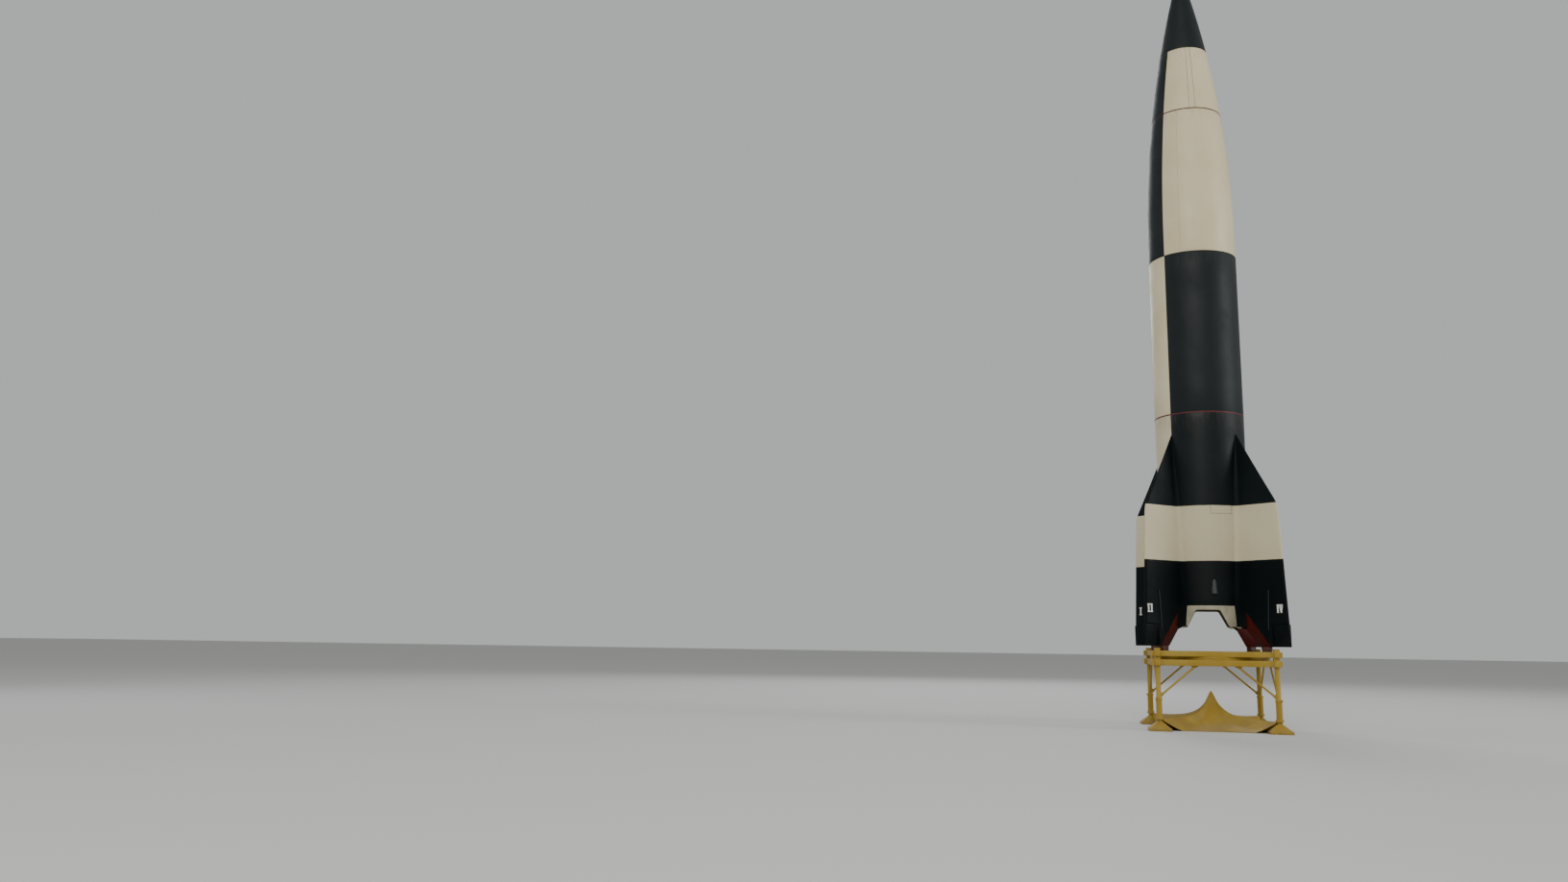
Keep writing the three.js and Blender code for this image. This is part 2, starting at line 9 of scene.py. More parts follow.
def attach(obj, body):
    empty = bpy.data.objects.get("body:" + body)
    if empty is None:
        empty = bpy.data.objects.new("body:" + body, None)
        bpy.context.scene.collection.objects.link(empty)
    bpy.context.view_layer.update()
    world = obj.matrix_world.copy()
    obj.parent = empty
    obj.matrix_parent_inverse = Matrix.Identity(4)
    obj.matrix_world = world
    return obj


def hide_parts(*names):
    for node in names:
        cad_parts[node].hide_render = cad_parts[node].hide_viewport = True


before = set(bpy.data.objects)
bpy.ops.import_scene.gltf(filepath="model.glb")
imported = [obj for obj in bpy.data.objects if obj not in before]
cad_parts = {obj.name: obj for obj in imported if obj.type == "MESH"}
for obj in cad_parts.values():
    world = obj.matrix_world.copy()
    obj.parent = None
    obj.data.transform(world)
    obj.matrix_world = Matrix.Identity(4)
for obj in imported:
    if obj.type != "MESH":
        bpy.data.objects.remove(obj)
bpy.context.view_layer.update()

# The height of the stand's top, where the fins' feet stand. Then the rocket's own sizes, with heights
# above that level, and azimuths and sweeps in degrees.
STAND_TOP = 1.53
ON_STAND = Matrix.Translation((0, 0, STAND_TOP))
TIP = 14.036
FUZE = 13.850
NOSE = 12.026
INSTRUMENTS = 10.616
CENTRE = 7.593
TAIL = 4.401
OGIVE = 8.0
BAND_TOP = 2.615
BAND_LOW = 1.578
SKIRT_TOP = 0.750
SKIRT_LOW = 0.365
NOTCH_TOP = 0.672
NOTCH_TURN = -5.625
BODY_RADIUS = 0.8255
TAIL_END_RADIUS = 0.705
SKIRT_END_RADIUS = 0.699
SKIRT_WALL = 0.015
SKIN = 0.012
TAIL_WALL = 0.025
SEAM = 0.0015
STRAP_SWEEP = 5
FIN_AZIMUTHS = {1: 45, 2: 135, 3: 225, 4: 315}
TRAILING_TOP = (0.919, 0.620)
TRAILING_OUT = (1.395, 0.0)
TRAILING_IN = (1.120, 0.0)
TRAILING_HEEL = (0.868, 0.310)
TRAILING_STEP = (0.900, 0.360)
RUDDER_R = 1.440
RUDDER_TOP = 0.420
RUDDER_AXIS = 0.368
RUDDER_GAP = 0.007
RUDDER_BLANK_END = 1.80
DRIVE_COVER_LOW, DRIVE_COVER_HIGH = (1.365, 0.30), (1.405, 1.03)
BULKHEAD = 4.250
SPLIT_AZIMUTHS = (-135, 45)
DOOR_EDGE_AZIMUTHS = (-90, -80)
CENTRE_SEAM_AZIMUTH = -111
HATCH_LOW, HATCH_HIGH = 2.46, 2.94
HATCH_AZIMUTH, HATCH_SWEEP = -86.7, 30
SCOOP_AZIMUTHS = {"front": -85, "back": 95}
SCOOP_HEIGHT = 1.110
SCREW_INSET = 0.045
SKIRT_SCREW_INSET = 0.035

# The stand: heights above the ground, places from its middle.
CORNER = 1.030
POST = 0.104
POST_TOP = 1.490
RAIL_END = 1.128
RAIL_WIDTH = 0.090
UPPER_TOP = 1.440
UPPER_BOTTOM = 1.340
LOWER_TOP = 1.280
LOWER_BOTTOM = 1.170
FLANGE_RADIUS = 0.070
FLANGE_TOP = 0.250
RING_OUTER, RING_INNER = 1.080, 0.950
BEARER_RADIUS = 1.270
BEARER_HALF = 0.055
BEARER_DEPTH = 0.08
BRACE_TOP = (0.309, 1.218)
BRACE_FOOT_Z = 0.600
DEFLECTOR_SHEET = 0.013
WELD = 0.0035


# ---- finishes ----


def math_form(operation, reflected=False):
    """A method that adds a math node for a value and another value or number."""

    def method(self, other):
        first, second = (other, self) if reflected else (self, other)
        return self.finish.node("ShaderNodeMath", {"operation": operation}, {0: first, 1: second})

    return method


class Value:
    """One output of a material's nodes, which can be added, multiplied and compared."""

    __add__, __radd__ = math_form("ADD"), math_form("ADD", reflected=True)
    __sub__, __rsub__ = math_form("SUBTRACT"), math_form("SUBTRACT", reflected=True)
    __mul__, __rmul__ = math_form("MULTIPLY"), math_form("MULTIPLY", reflected=True)
    __truediv__, __rtruediv__ = math_form("DIVIDE"), math_form("DIVIDE", reflected=True)
    __pow__ = math_form("POWER")
    above, below = math_form("GREATER_THAN"), math_form("LESS_THAN")
    least, most = math_form("MINIMUM"), math_form("MAXIMUM")

    def __init__(self, finish, socket):
        self.finish = finish
        self.socket = socket

    def __abs__(self):
        return self.finish.node("ShaderNodeMath", {"operation": "ABSOLUTE"}, {0: self})

    def past(self, level, blur):
        """0 below a level and 1 above it, blurred a little."""
        return self.ramp(level - blur, level + blur)

    def ramp(self, low, high):
        """0 up to low, 1 from high on, smooth between."""
        settings = {"interpolation_type": "SMOOTHSTEP", "clamp": True}
        return self.finish.node("ShaderNodeMapRange", settings, {0: self, 1: low, 2: high, 3: 0.0, 4: 1.0})


def opaque(colour):
    """A colour as a socket takes it."""
    return colour if isinstance(colour, Value) else (*colour, 1.0)


class Finish:
    """A procedural material on object coordinates."""

    def __init__(self, name, slot, metallic=0.0, specular=0.5):
        self.slot = slot
        self.material = bpy.data.materials.new(name)
        self.material.use_nodes = True
        self.tree = self.material.node_tree
        self.shader = self.tree.nodes["Principled BSDF"]
        self.shader.inputs["Metallic"].default_value = metallic
        self.shader.inputs["Specular IOR Level"].default_value = specular
        self.place = self.node("ShaderNodeTexCoord", output="Object")
        self.x, self.y, self.z = (
            self.node("ShaderNodeSeparateXYZ", sockets={0: self.place}, output=i) for i in range(3)
        )

    def feed(self, socket, value):
        if isinstance(value, Value):
            self.tree.links.new(value.socket, socket)
        else:
            socket.default_value = value

    def node(self, kind, settings=None, sockets=None, output=0):
        made = self.tree.nodes.new(kind)
        for key, value in (settings or {}).items():
            setattr(made, key, value)
        for key, value in (sockets or {}).items():
            self.feed(made.inputs[key], value)
        return Value(self, made.outputs[output])

    def noise(self, scale, detail, rough, stretch=(1, 1, 1), shift=(0, 0, 0)):
        """Noise from 0 to 1; stretch scales each axis of the pattern."""
        placing = {"Vector": self.place, "Scale": stretch, "Location": shift}
        spot = self.node("ShaderNodeMapping", sockets=placing)
        sockets = {"Vector": spot, "Scale": scale, "Detail": detail, "Roughness": rough}
        return self.node("ShaderNodeTexNoise", {"noise_dimensions": "3D"}, sockets, output="Fac")

    def mix(self, share, first, second):
        """A colour between two colours."""
        settings = {"data_type": "RGBA", "blend_type": "MIX", "clamp_factor": True}
        sockets = {0: share, 6: opaque(first), 7: opaque(second)}
        return self.node("ShaderNodeMix", settings, sockets, output=2)

    def bump(self, height, distance, strength):
        sockets = {"Height": height, "Distance": distance, "Strength": strength}
        self.feed(self.shader.inputs["Normal"], self.node("ShaderNodeBump", sockets=sockets))

    def colour(self, value):
        self.feed(self.shader.inputs["Base Color"], opaque(value))

    def roughness(self, value):
        self.feed(self.shader.inputs["Roughness"], value)


# Linear colours: each paint with its faded, dusty or worn tones, and the tones marked below as painted
# shade or a painted highlight.
IVORY = (0.590, 0.502, 0.312)
IVORY_PALE = (0.640, 0.562, 0.375)
IVORY_STAINED = (0.42, 0.345, 0.22)
BLACK = (0.0040, 0.0072, 0.0082)
BLACK_DUSTY = (0.0110, 0.0155, 0.0165)
BLACK_WORN = (0.018, 0.022, 0.022)
TAIL_BLACK = (0.0022, 0.0050, 0.0056)
TAIL_DUSTY = (0.0065, 0.0105, 0.0110)
# painted shade: the black below the band is made darker
LOW_TAIL_SHADE = (0.0006, 0.0022, 0.0024)
BLACK_DIRT = (0.022, 0.024, 0.022)
TAIL_DIRT = (0.05, 0.045, 0.04)
TAIL_DUST = (0.16, 0.145, 0.12)
BAND_GREY = (0.46, 0.445, 0.355)
# painted shade: grey mixed into the skirt's ivory
SKIRT_SHADE_GREY = (0.160, 0.165, 0.145)
# painted shade inside the skirt, in darker and paler patches
INSIDE_SHADE, INSIDE_SHADE_PALE = (0.060, 0.056, 0.036), (0.110, 0.100, 0.066)
RED, RED_FADED = (0.058, 0.0045, 0.0028), (0.105, 0.028, 0.020)
JOINT_RED, JOINT_BROWN, JOINT_SHADE = (0.125, 0.018, 0.024), (0.060, 0.016, 0.014), (0.040, 0.014, 0.010)
BEARER_BROWN, BEARER_WORN = (0.060, 0.020, 0.013), (0.10, 0.042, 0.026)
# grey of the scoops, also used as a painted highlight on the drive covers
COVER_GREY_AND_HIGHLIGHT, COVER_SHADE = (0.060, 0.070, 0.069), (0.030, 0.036, 0.036)
# painted shade in the gaps of the skin
GAP_SHADE, GAP_SHADE_DUSTY = (0.016, 0.013, 0.010), (0.030, 0.024, 0.018)
# painted shadow along the ivory seams
SEAM_SHADOW = (0.30, 0.25, 0.16)
NUMERAL, NUMERAL_WORN = (0.76, 0.745, 0.69), (0.42, 0.40, 0.35)
YELLOW = (0.325, 0.203, 0.017)
YELLOW_FADED = (0.375, 0.255, 0.040)
YELLOW_STAINED = (0.20, 0.120, 0.014)
MUD = (0.15, 0.11, 0.055)
RUST = (0.12, 0.045, 0.018)
PRIMER = (0.16, 0.055, 0.035)
SCORCHED, SCORCHED_DARK = (0.11, 0.095, 0.08), (0.035, 0.03, 0.028)
STEEL, STEEL_DARK = (0.36, 0.36, 0.35), (0.20, 0.20, 0.20)
JOINT_HEIGHTS = (NOSE, INSTRUMENTS, CENTRE, TAIL)
FRAME_PITCH = 0.46


def ivory_layers(f):
    """Colour of the ivory paint: broad pale clouds, thin rain streaks and fine specks."""
    cloud = f.noise(0.9, 4, 0.55).ramp(0.32, 0.72)
    streak = f.noise(3.2, 5, 0.6, (5.5, 5.5, 0.22)).ramp(0.50, 0.78)
    fine = f.noise(60, 3, 0.6).ramp(0.55, 0.85)
    tone = f.mix(cloud, IVORY, IVORY_PALE)
    tone = f.mix(streak * 0.15, tone, IVORY_STAINED)
    return f.mix(fine * 0.16, tone, IVORY_STAINED)


def black_layers(f, black=BLACK, dusty=BLACK_DUSTY):
    """Colour of the blue-green black paint: dusty clouds and thin pale run marks."""
    cloud = f.noise(1.3, 5, 0.6).ramp(0.38, 0.75)
    streak = f.noise(3.6, 5, 0.62, (5.0, 5.0, 0.20), (3, 1, 0)).ramp(0.55, 0.82)
    fine = f.noise(85, 2, 0.5).ramp(0.62, 0.90)
    tone = f.mix(cloud * 0.55, black, dusty)
    tone = f.mix(streak * 0.45, tone, dusty)
    return f.mix(fine * 0.30, tone, BLACK_WORN)


def joint_dirt(f):
    """1 just under each section joint, fading out below it in runs of uneven length."""
    runs = f.noise(7.0, 4, 0.6, (3.5, 3.5, 0.35), (2, 7, 1))
    total = None
    for height in JOINT_HEIGHTS:
        drop = STAND_TOP + height - f.z
        one = drop.above(0.0) * (1.0 - (drop / (runs * 0.75 + 0.02)).ramp(0.0, 1.0))
        total = one if total is None else total.most(one)
    return total * runs.ramp(0.35, 0.65)


def sheet_waves(f):
    """Height of the skin's faint waves: rings at the frames and shallow dents between them."""
    dents = f.noise(2.4, 2, 0.4)
    grain = f.noise(180, 2, 0.5)
    turns = f.z * (2 * math.pi / FRAME_PITCH)
    ring = f.node("ShaderNodeMath", {"operation": "SINE"}, {0: turns})
    return dents + ring * 0.10 + grain * 0.03


def uneven_gloss(f, low, spread):
    """Roughness that varies in clouds, from low upwards."""
    f.roughness(f.noise(2.1, 4, 0.6).ramp(0.3, 0.75) * spread + low)


def painted(name, slot, layers, rough_low, rough_high, specular=0.45, dirt=IVORY_STAINED):
    """Paint on skin sheet, with dirt below the section joints."""
    f = Finish(name, slot, specular=specular)
    f.colour(f.mix(joint_dirt(f) * 0.40, layers(f), dirt))
    uneven_gloss(f, rough_low, rough_high - rough_low)
    f.bump(sheet_waves(f), 0.004, 0.55)
    return f


def band_mask(f):
    """1 inside the ivory band round the tail and fins, with hand-painted edges."""
    wobble = (f.noise(6.0, 2, 0.5) - 0.5) * 0.008
    height = f.z - STAND_TOP + wobble
    return height.past(BAND_LOW, 0.002) * (1.0 - height.past(BAND_TOP, 0.002))


def edge_radius(height, start, end):
    """Radius at a height on the straight edge between two (radius, height) points."""
    return (start[1] - height) * ((end[0] - start[0]) / (start[1] - end[1])) + start[0]


def trailing_mask(f):
    """1 on the dark red trailing part of a fin on a diagonal."""
    radius = (abs(f.x) + abs(f.y)) * (0.5 ** 0.5)
    height = f.z - STAND_TOP
    outer = edge_radius(height, TRAILING_TOP, TRAILING_OUT)
    heel = edge_radius(height, TRAILING_HEEL, TRAILING_STEP)
    inner = heel.least(edge_radius(height, TRAILING_STEP, TRAILING_TOP))
    wobble = (f.noise(9.0, 2, 0.5) - 0.5) * 0.006
    inside = (outer - radius + wobble).ramp(-0.001, 0.003) * (radius - inner + wobble).ramp(-0.001, 0.003)
    return inside * height.below(TRAILING_TOP[1])


def tail_finish(name, fin):
    """Black with the ivory band, and darker below the band as painted shade. The tail's left half is ivory
    above the band, a fin's trailing part red.
    """
    f = Finish(name, "black_paint", specular=0.08 if fin else 0.20)
    height = f.z - STAND_TOP
    pale = band_mask(f)
    if not fin:
        left = (f.y - f.x).past(0, 0.0015)
        pale = pale.most(left * height.above(BAND_TOP))
    band_ivory = f.mix(0.30, ivory_layers(f), BAND_GREY)
    dark = black_layers(f, TAIL_BLACK, TAIL_DUSTY)
    # below the band the black is darkened as painted shade
    dark = f.mix(height.below(BAND_LOW) * 0.6, dark, LOW_TAIL_SHADE)
    tone = f.mix(pale, dark, band_ivory)
    if fin:
        streaks = f.noise(9, 5, 0.65, (1.6, 1.6, 0.25)).ramp(0.45, 0.75)
        high = height.ramp(0.25, TRAILING_TOP[1])
        tone = f.mix(trailing_mask(f), tone, f.mix(streaks * (high * 0.5 + 0.3), RED, RED_FADED))
    low_dust = (1.0 - height.ramp(0.0, 0.9)) * f.noise(4, 4, 0.6).ramp(0.35, 0.7)
    tone = f.mix(low_dust * 0.03, tone, TAIL_DUST)
    f.colour(f.mix(joint_dirt(f) * 0.3, tone, TAIL_DIRT))
    uneven_gloss(f, 0.42, 0.12)
    f.bump(sheet_waves(f), 0.004, 0.5)
    return f


def skirt_finish():
    """Ivory greyed by painted shade outside and on the rim, and dark painted shade inside."""
    f = Finish("skirt_paint", "ivory_paint", specular=0.4)
    radius = (f.x * f.x + f.y * f.y) ** 0.5
    # the inside of the skirt is painted dark as shade
    inside_shade = f.mix(f.noise(9, 4, 0.6).ramp(0.3, 0.7), INSIDE_SHADE, INSIDE_SHADE_PALE)
    grime = f.noise(5, 4, 0.6, (1, 1, 0.5), (6, 1, 4)).ramp(0.35, 0.75)
    # the outside is mixed towards grey as painted shade, more so in patches of grime
    outside = f.mix(grime * 0.30 + 0.46, ivory_layers(f), SKIRT_SHADE_GREY)
    inner_skin = SKIRT_END_RADIUS - SKIRT_WALL + 0.0065
    f.colour(f.mix((radius - inner_skin).past(0, 0.0005), inside_shade, outside))
    f.roughness(0.5)
    f.bump(sheet_waves(f), 0.004, 0.5)
    return f


def yellow_finish(name, chips):
    """Ochre paint on welded steel: faded and stained in clouds, muddy low down, chipped to primer."""
    f = Finish(name, "yellow_paint", specular=0.3)
    cloud = f.noise(1.7, 5, 0.6).ramp(0.35, 0.72)
    stain = f.noise(7.0, 5, 0.65, (1, 1, 0.45), (4, 2, 9)).ramp(0.52, 0.80)
    spots = f.noise(38, 4, 0.7, (1, 1, 1), (1, 5, 2))
    large = f.noise(3.1, 2, 0.5, (1, 1, 1), (8, 3, 3)).ramp(0.45, 0.7)
    chip = (spots + large * 0.10).ramp(0.74 - chips, 0.76 - chips)
    tone = f.mix(cloud, YELLOW, YELLOW_FADED)
    tone = f.mix(stain * 0.42, tone, YELLOW_STAINED)
    splash = (1.0 - f.z.ramp(0.0, 0.55)) * f.noise(5, 4, 0.6).ramp(0.3, 0.65)
    tone = f.mix(splash * 0.40, tone, MUD)
    f.colour(f.mix(chip, tone, f.mix(f.noise(90, 2, 0.5), PRIMER, RUST)))
    f.roughness(cloud * 0.12 + 0.46 + chip * 0.25)
    f.bump(f.noise(55, 4, 0.6) * 0.35 + f.noise(6, 2, 0.5) * 0.6 - chip * 0.5, 0.0022, 0.8)
    return f


def steel_finish(name, slot, tone, dark, metallic, rough):
    """Bare or scorched metal with run marks and tint clouds."""
    f = Finish(name, slot, metallic=metallic)
    cloud = f.noise(5, 5, 0.65).ramp(0.35, 0.7)
    runs = f.noise(9, 4, 0.6, (3, 3, 0.4)).ramp(0.45, 0.75)
    f.colour(f.mix(runs * 0.5, f.mix(cloud, tone, dark), RUST))
    f.roughness(cloud * 0.2 + rough)
    f.bump(f.noise(70, 3, 0.6), 0.0012, 0.5)
    return f


def speckled(first, second, scale=22, share=1.0):
    """Layers of one tone with small patches of another."""
    return lambda f: f.mix(f.noise(scale, 4, 0.62).ramp(0.35, 0.75) * share, first, second)


ivory = painted("ivory_paint_weathered", "ivory_paint", ivory_layers, 0.42, 0.56)
black = painted("black_paint_satin", "black_paint", black_layers, 0.50, 0.60, 0.24, BLACK_DIRT)
tail_paint = tail_finish("tail_paint_banded", False)
fin_paint = tail_finish("fin_paint_banded", True)
skirt_paint = skirt_finish()
yellow = yellow_finish("yellow_paint_worn", 0.0)
yellow_sheet = yellow_finish("yellow_paint_sheet", 0.03)
dark_steel = steel_finish("scorched_steel", "dark_steel", SCORCHED, SCORCHED_DARK, 0.7, 0.5)
bare_steel = steel_finish("bare_steel", "bare_steel", STEEL, STEEL_DARK, 0.9, 0.32)
red_specks, brown_specks = speckled(JOINT_RED, JOINT_BROWN), speckled(JOINT_BROWN, JOINT_SHADE)
joint_red = painted("joint_red_primer", "red_paint", red_specks, 0.5, 0.65, 0.3, JOINT_BROWN)
joint_brown = painted("joint_brown_primer", "red_paint", brown_specks, 0.5, 0.65, 0.3, JOINT_BROWN)
bearer_specks = speckled(BEARER_BROWN, BEARER_WORN)
bearer_brown = painted("bearer_primer", "red_paint", bearer_specks, 0.6, 0.75, dirt=RUST)
# the scoops' grey, and the pale strips on the drive covers, which are a painted highlight of their lit
# edges
cover_grey_and_highlight = painted("cover_grey_and_highlight", "bare_steel", speckled(COVER_GREY_AND_HIGHLIGHT, COVER_SHADE), 0.45, 0.60, 0.3)
# dark strips of painted shade that stand for gaps in the skin
gap_shade = painted("panel_gap_shade", "black_paint", speckled(GAP_SHADE, GAP_SHADE_DUSTY), 0.7, 0.8, 0.1, GAP_SHADE)
# a thin painted shadow for the seams on the ivory
seam_shadow = painted("seam_shadow", "ivory_paint", speckled(SEAM_SHADOW, IVORY_STAINED), 0.6, 0.7)
numeral_specks = speckled(NUMERAL, NUMERAL_WORN, 30, 0.35)
numeral_white = painted("numeral_white", "ivory_paint", numeral_specks, 0.45, 0.55)


# ---- modelling helpers ----


def take(*pieces):
    """Selects these pieces only; the last is active."""
    bpy.ops.object.select_all(action="DESELECT")
    for piece in pieces:
        piece.select_set(True)
    bpy.context.view_layer.objects.active = pieces[-1]


def edit_mode(piece):
    take(piece)
    bpy.ops.object.mode_set(mode="EDIT")


def object_mode():
    bpy.ops.object.mode_set(mode="OBJECT")


def begin(add_primitive, name, **settings):
    """Adds a primitive to start a piece from, with nothing else selected."""
    bpy.ops.object.select_all(action="DESELECT")
    add_primitive(**settings)
    piece = bpy.context.object
    piece.name = name
    return piece


def select_whole_mesh():
    bpy.ops.mesh.select_all(action="SELECT")


def drop(piece):
    bpy.data.objects.remove(piece)


def settle(*pieces):
    """Puts the pieces' places and sizes into their meshes."""
    take(*pieces)
    bpy.ops.object.transform_apply(location=True, rotation=True, scale=True)
    return pieces[-1]


def placed(piece, place):
    """Moves a piece by a matrix."""
    piece.matrix_world = place
    return settle(piece)


def pick(kind, test):
    """In edit mode, selects the faces, edges or verts whose middle passes a test."""
    bpy.ops.mesh.select_mode(type={"faces": "FACE", "edges": "EDGE", "verts": "VERT"}[kind])
    bpy.ops.mesh.select_all(action="DESELECT")
    data = bpy.context.edit_object.data
    mesh = bmesh.from_edit_mesh(data)
    for item in getattr(mesh, kind):
        if kind == "verts":
            chosen = test(item.co)
        elif kind == "edges":
            chosen = test((item.verts[0].co + item.verts[1].co) / 2)
        else:
            chosen = test(item.calc_center_median(), item.normal)
        item.select_set(bool(chosen))
    mesh.select_flush_mode()
    bmesh.update_edit_mesh(data)


def trace(name, points, closed=False):
    """Draws a line of points by extruding one vertex along it. Leaves the piece in edit mode."""
    piece = begin(bpy.ops.mesh.primitive_plane_add, name, size=0.001, location=points[0])
    edit_mode(piece)
    bpy.ops.mesh.select_mode(type="VERT")
    select_whole_mesh()
    bpy.ops.mesh.merge(type="CENTER")
    last = Vector(points[0])
    for point in points[1:]:
        bpy.ops.mesh.extrude_region_move(TRANSFORM_OT_translate={"value": Vector(point) - last})
        last = Vector(point)
    if closed:
        select_whole_mesh()
        bpy.ops.mesh.edge_face_add()
    return piece


def face_out():
    """In edit mode: merges doubles and turns all faces outwards."""
    select_whole_mesh()
    bpy.ops.mesh.remove_doubles(threshold=0.00005)
    bpy.ops.mesh.normals_make_consistent(inside=False)


def resize_top(piece, x_share, y_share, centre):
    """Resizes a piece's top face about a point. Leaves the piece in edit mode with that face selected."""
    edit_mode(piece)
    pick("faces", lambda m, n: n.z > 0.9)
    bpy.ops.transform.resize(value=(x_share, y_share, 1), center_override=centre)


def close_holes():
    """In edit mode: puts faces on all open edges, then leaves edit mode."""
    bpy.ops.mesh.select_mode(type="EDGE")
    bpy.ops.mesh.select_all(action="DESELECT")
    bpy.ops.mesh.select_non_manifold()
    bpy.ops.mesh.edge_face_add()
    face_out()
    object_mode()


def modify(piece, kind, **settings):
    """Adds a modifier and applies it."""
    take(piece)
    made = piece.modifiers.new(kind.lower(), kind)
    for key, value in settings.items():
        setattr(made, key, value)
    bpy.ops.object.modifier_apply(modifier=made.name)
    return piece


def soften(piece, width, segments=2, angle=35):
    limit = math.radians(angle)
    return modify(piece, "BEVEL", width=width, segments=segments, limit_method="ANGLE", angle_limit=limit)


def cut(piece, cutter):
    """Cuts a cutter's form out of a piece. The cutter is used up."""
    modify(piece, "BOOLEAN", operation="DIFFERENCE", object=cutter, solver="EXACT")
    drop(cutter)


def smooth(piece, angle=32):
    take(piece)
    bpy.ops.object.shade_smooth_by_angle(angle=math.radians(angle))
    return piece


def turned(name, profile, steps, sweep=360.0, start=0.0):
    """Spins a profile of (radius, height) pairs about Z, from one azimuth over a sweep."""
    c, s = math.cos(math.radians(start)), math.sin(math.radians(start))
    piece = trace(name, [(r * c, r * s, z) for r, z in profile])
    object_mode()
    edit_mode(settle(piece))
    select_whole_mesh()
    bpy.ops.mesh.spin(steps=steps, angle=math.radians(sweep), center=(0, 0, 0), axis=(0, 0, -1))
    face_out()
    object_mode()
    return piece


def slab(name, outline, depth):
    """Extrudes a closed outline of points along a vector."""
    piece = trace(name, outline, closed=True)
    bpy.ops.mesh.extrude_region_move(TRANSFORM_OT_translate={"value": depth})
    face_out()
    object_mode()
    return settle(piece)


def beam(name, low, high, bevel=0.004):
    """A box-section beam between two corners, with rounded edges."""
    low, high = Vector(low), Vector(high)
    piece = begin(bpy.ops.mesh.primitive_cube_add, name, size=1, location=(low + high) / 2)
    piece.scale = high - low
    return soften(settle(piece), bevel, 3)


def rod(name, start, end, radius, sides=24):
    """A round bar between two points."""
    start, end = Vector(start), Vector(end)
    run = end - start
    settings = {"vertices": sides, "radius": radius, "depth": run.length}
    piece = begin(bpy.ops.mesh.primitive_cylinder_add, name, **settings)
    turn = run.to_track_quat("Z", "Y").to_matrix().to_4x4()
    return placed(piece, Matrix.Translation((start + end) / 2) @ turn)


def hoop(radius, thick, z, around=96, across=10):
    """A ring of round bar about Z."""
    ring = begin(bpy.ops.mesh.primitive_torus_add, "hoop", major_radius=radius, minor_radius=thick,
                 major_segments=around, minor_segments=across, location=(0, 0, z))
    return settle(ring)


def bridged(name, loops):
    """A skin over closed loops of points, open at its ends. Leaves the piece in edit mode."""
    parts = []
    for points in loops:
        part = trace("loop", points, closed=True)
        bpy.ops.mesh.delete(type="ONLY_FACE")
        object_mode()
        parts.append(settle(part))
    piece = joined(parts, name)
    edit_mode(piece)
    bpy.ops.mesh.select_mode(type="EDGE")
    select_whole_mesh()
    bpy.ops.mesh.bridge_edge_loops()
    return piece


def joined(pieces, name):
    """Makes one piece of several."""
    take(*pieces)
    if len(pieces) > 1:
        bpy.ops.object.join()
    piece = bpy.context.object
    piece.name = name
    return piece


def copied(piece, place):
    """A copy with its own mesh, moved by a matrix."""
    copy = piece.copy()
    copy.data = piece.data.copy()
    bpy.context.collection.objects.link(copy)
    copy.matrix_world = place
    return copy


def twin(piece, name, place):
    """A copy at its final place, under a name of its own."""
    copy = copied(piece, place)
    copy.name = name
    return settle(copy)


def scatter(piece, name, places):
    """One piece from many copies of a small one, which is used up."""
    copies = [copied(piece, place) for place in places]
    settle(*copies)
    drop(piece)
    return joined(copies, name)


def turn_z(degrees):
    return Matrix.Rotation(math.radians(degrees), 4, "Z")


def dress(piece, finish, body="airframe", instead_of=()):
    """Gives a piece its finish, its body, and the nodes that it is shown in place of."""
    piece.data.materials.clear()
    piece.data.materials.append(finish.material)
    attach(piece, body)
    if instead_of:
        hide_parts(*instead_of)
    return piece


def body_radius(z):
    """Radius of the body's skin at a height above the fins' feet."""
    if z <= SKIRT_TOP:
        share = min((SKIRT_TOP - z) / (SKIRT_TOP - SKIRT_LOW), 1)
        return TAIL_END_RADIUS - (TAIL_END_RADIUS - SKIRT_END_RADIUS) * share
    if z < TAIL:
        share = (TAIL - z) / (TAIL - SKIRT_TOP)
        return BODY_RADIUS - (BODY_RADIUS - TAIL_END_RADIUS) * share * share
    if z <= OGIVE:
        return BODY_RADIUS
    length = TIP - OGIVE
    arc = (length ** 2 + BODY_RADIUS ** 2) / (2 * BODY_RADIUS)
    return BODY_RADIUS - (arc - math.sqrt(arc ** 2 - (z - OGIVE) ** 2))


def levels(low, high, count):
    return [low + (high - low) * i / count for i in range(count + 1)]


def above_stand(profile):
    """Raises (across, height) pairs from the fins' feet to the stand's top."""
    return [(r, z + STAND_TOP) for r, z in profile]


def skin_profile(low, high, count, out=0.0):
    """Profile of the body's skin between two heights, moved outwards by out."""
    return [(body_radius(z) + out, z + STAND_TOP) for z in levels(low, high, count)]


def on_skin(azimuth, z):
    """Where and which way a small thing sits on the body's skin: its Z points out, its Y up."""
    slope = math.atan2(body_radius(z - 0.01) - body_radius(z + 0.01), 0.02)
    place = turn_z(azimuth) @ Matrix.Translation((body_radius(z), 0, z + STAND_TOP))
    return place @ Matrix.Rotation(math.radians(90) - slope, 4, "Y") @ turn_z(90)


# ---- body sections ----


def half_shell(name, low, high, count, start, finish):
    """A half shell of skin sheet with rounded rims, split on the plane of two opposite fins."""
    gap = math.degrees(SEAM / BODY_RADIUS)
    profile = skin_profile(low + SEAM, high - SEAM, count)
    piece = turned(name + "_skin", profile, steps=96, sweep=180 - 2 * gap, start=start + gap)
    modify(piece, "SOLIDIFY", thickness=SKIN, offset=-1.0)
    soften(piece, 0.002, 2, 60)
    dress(smooth(piece), finish, instead_of=[name])


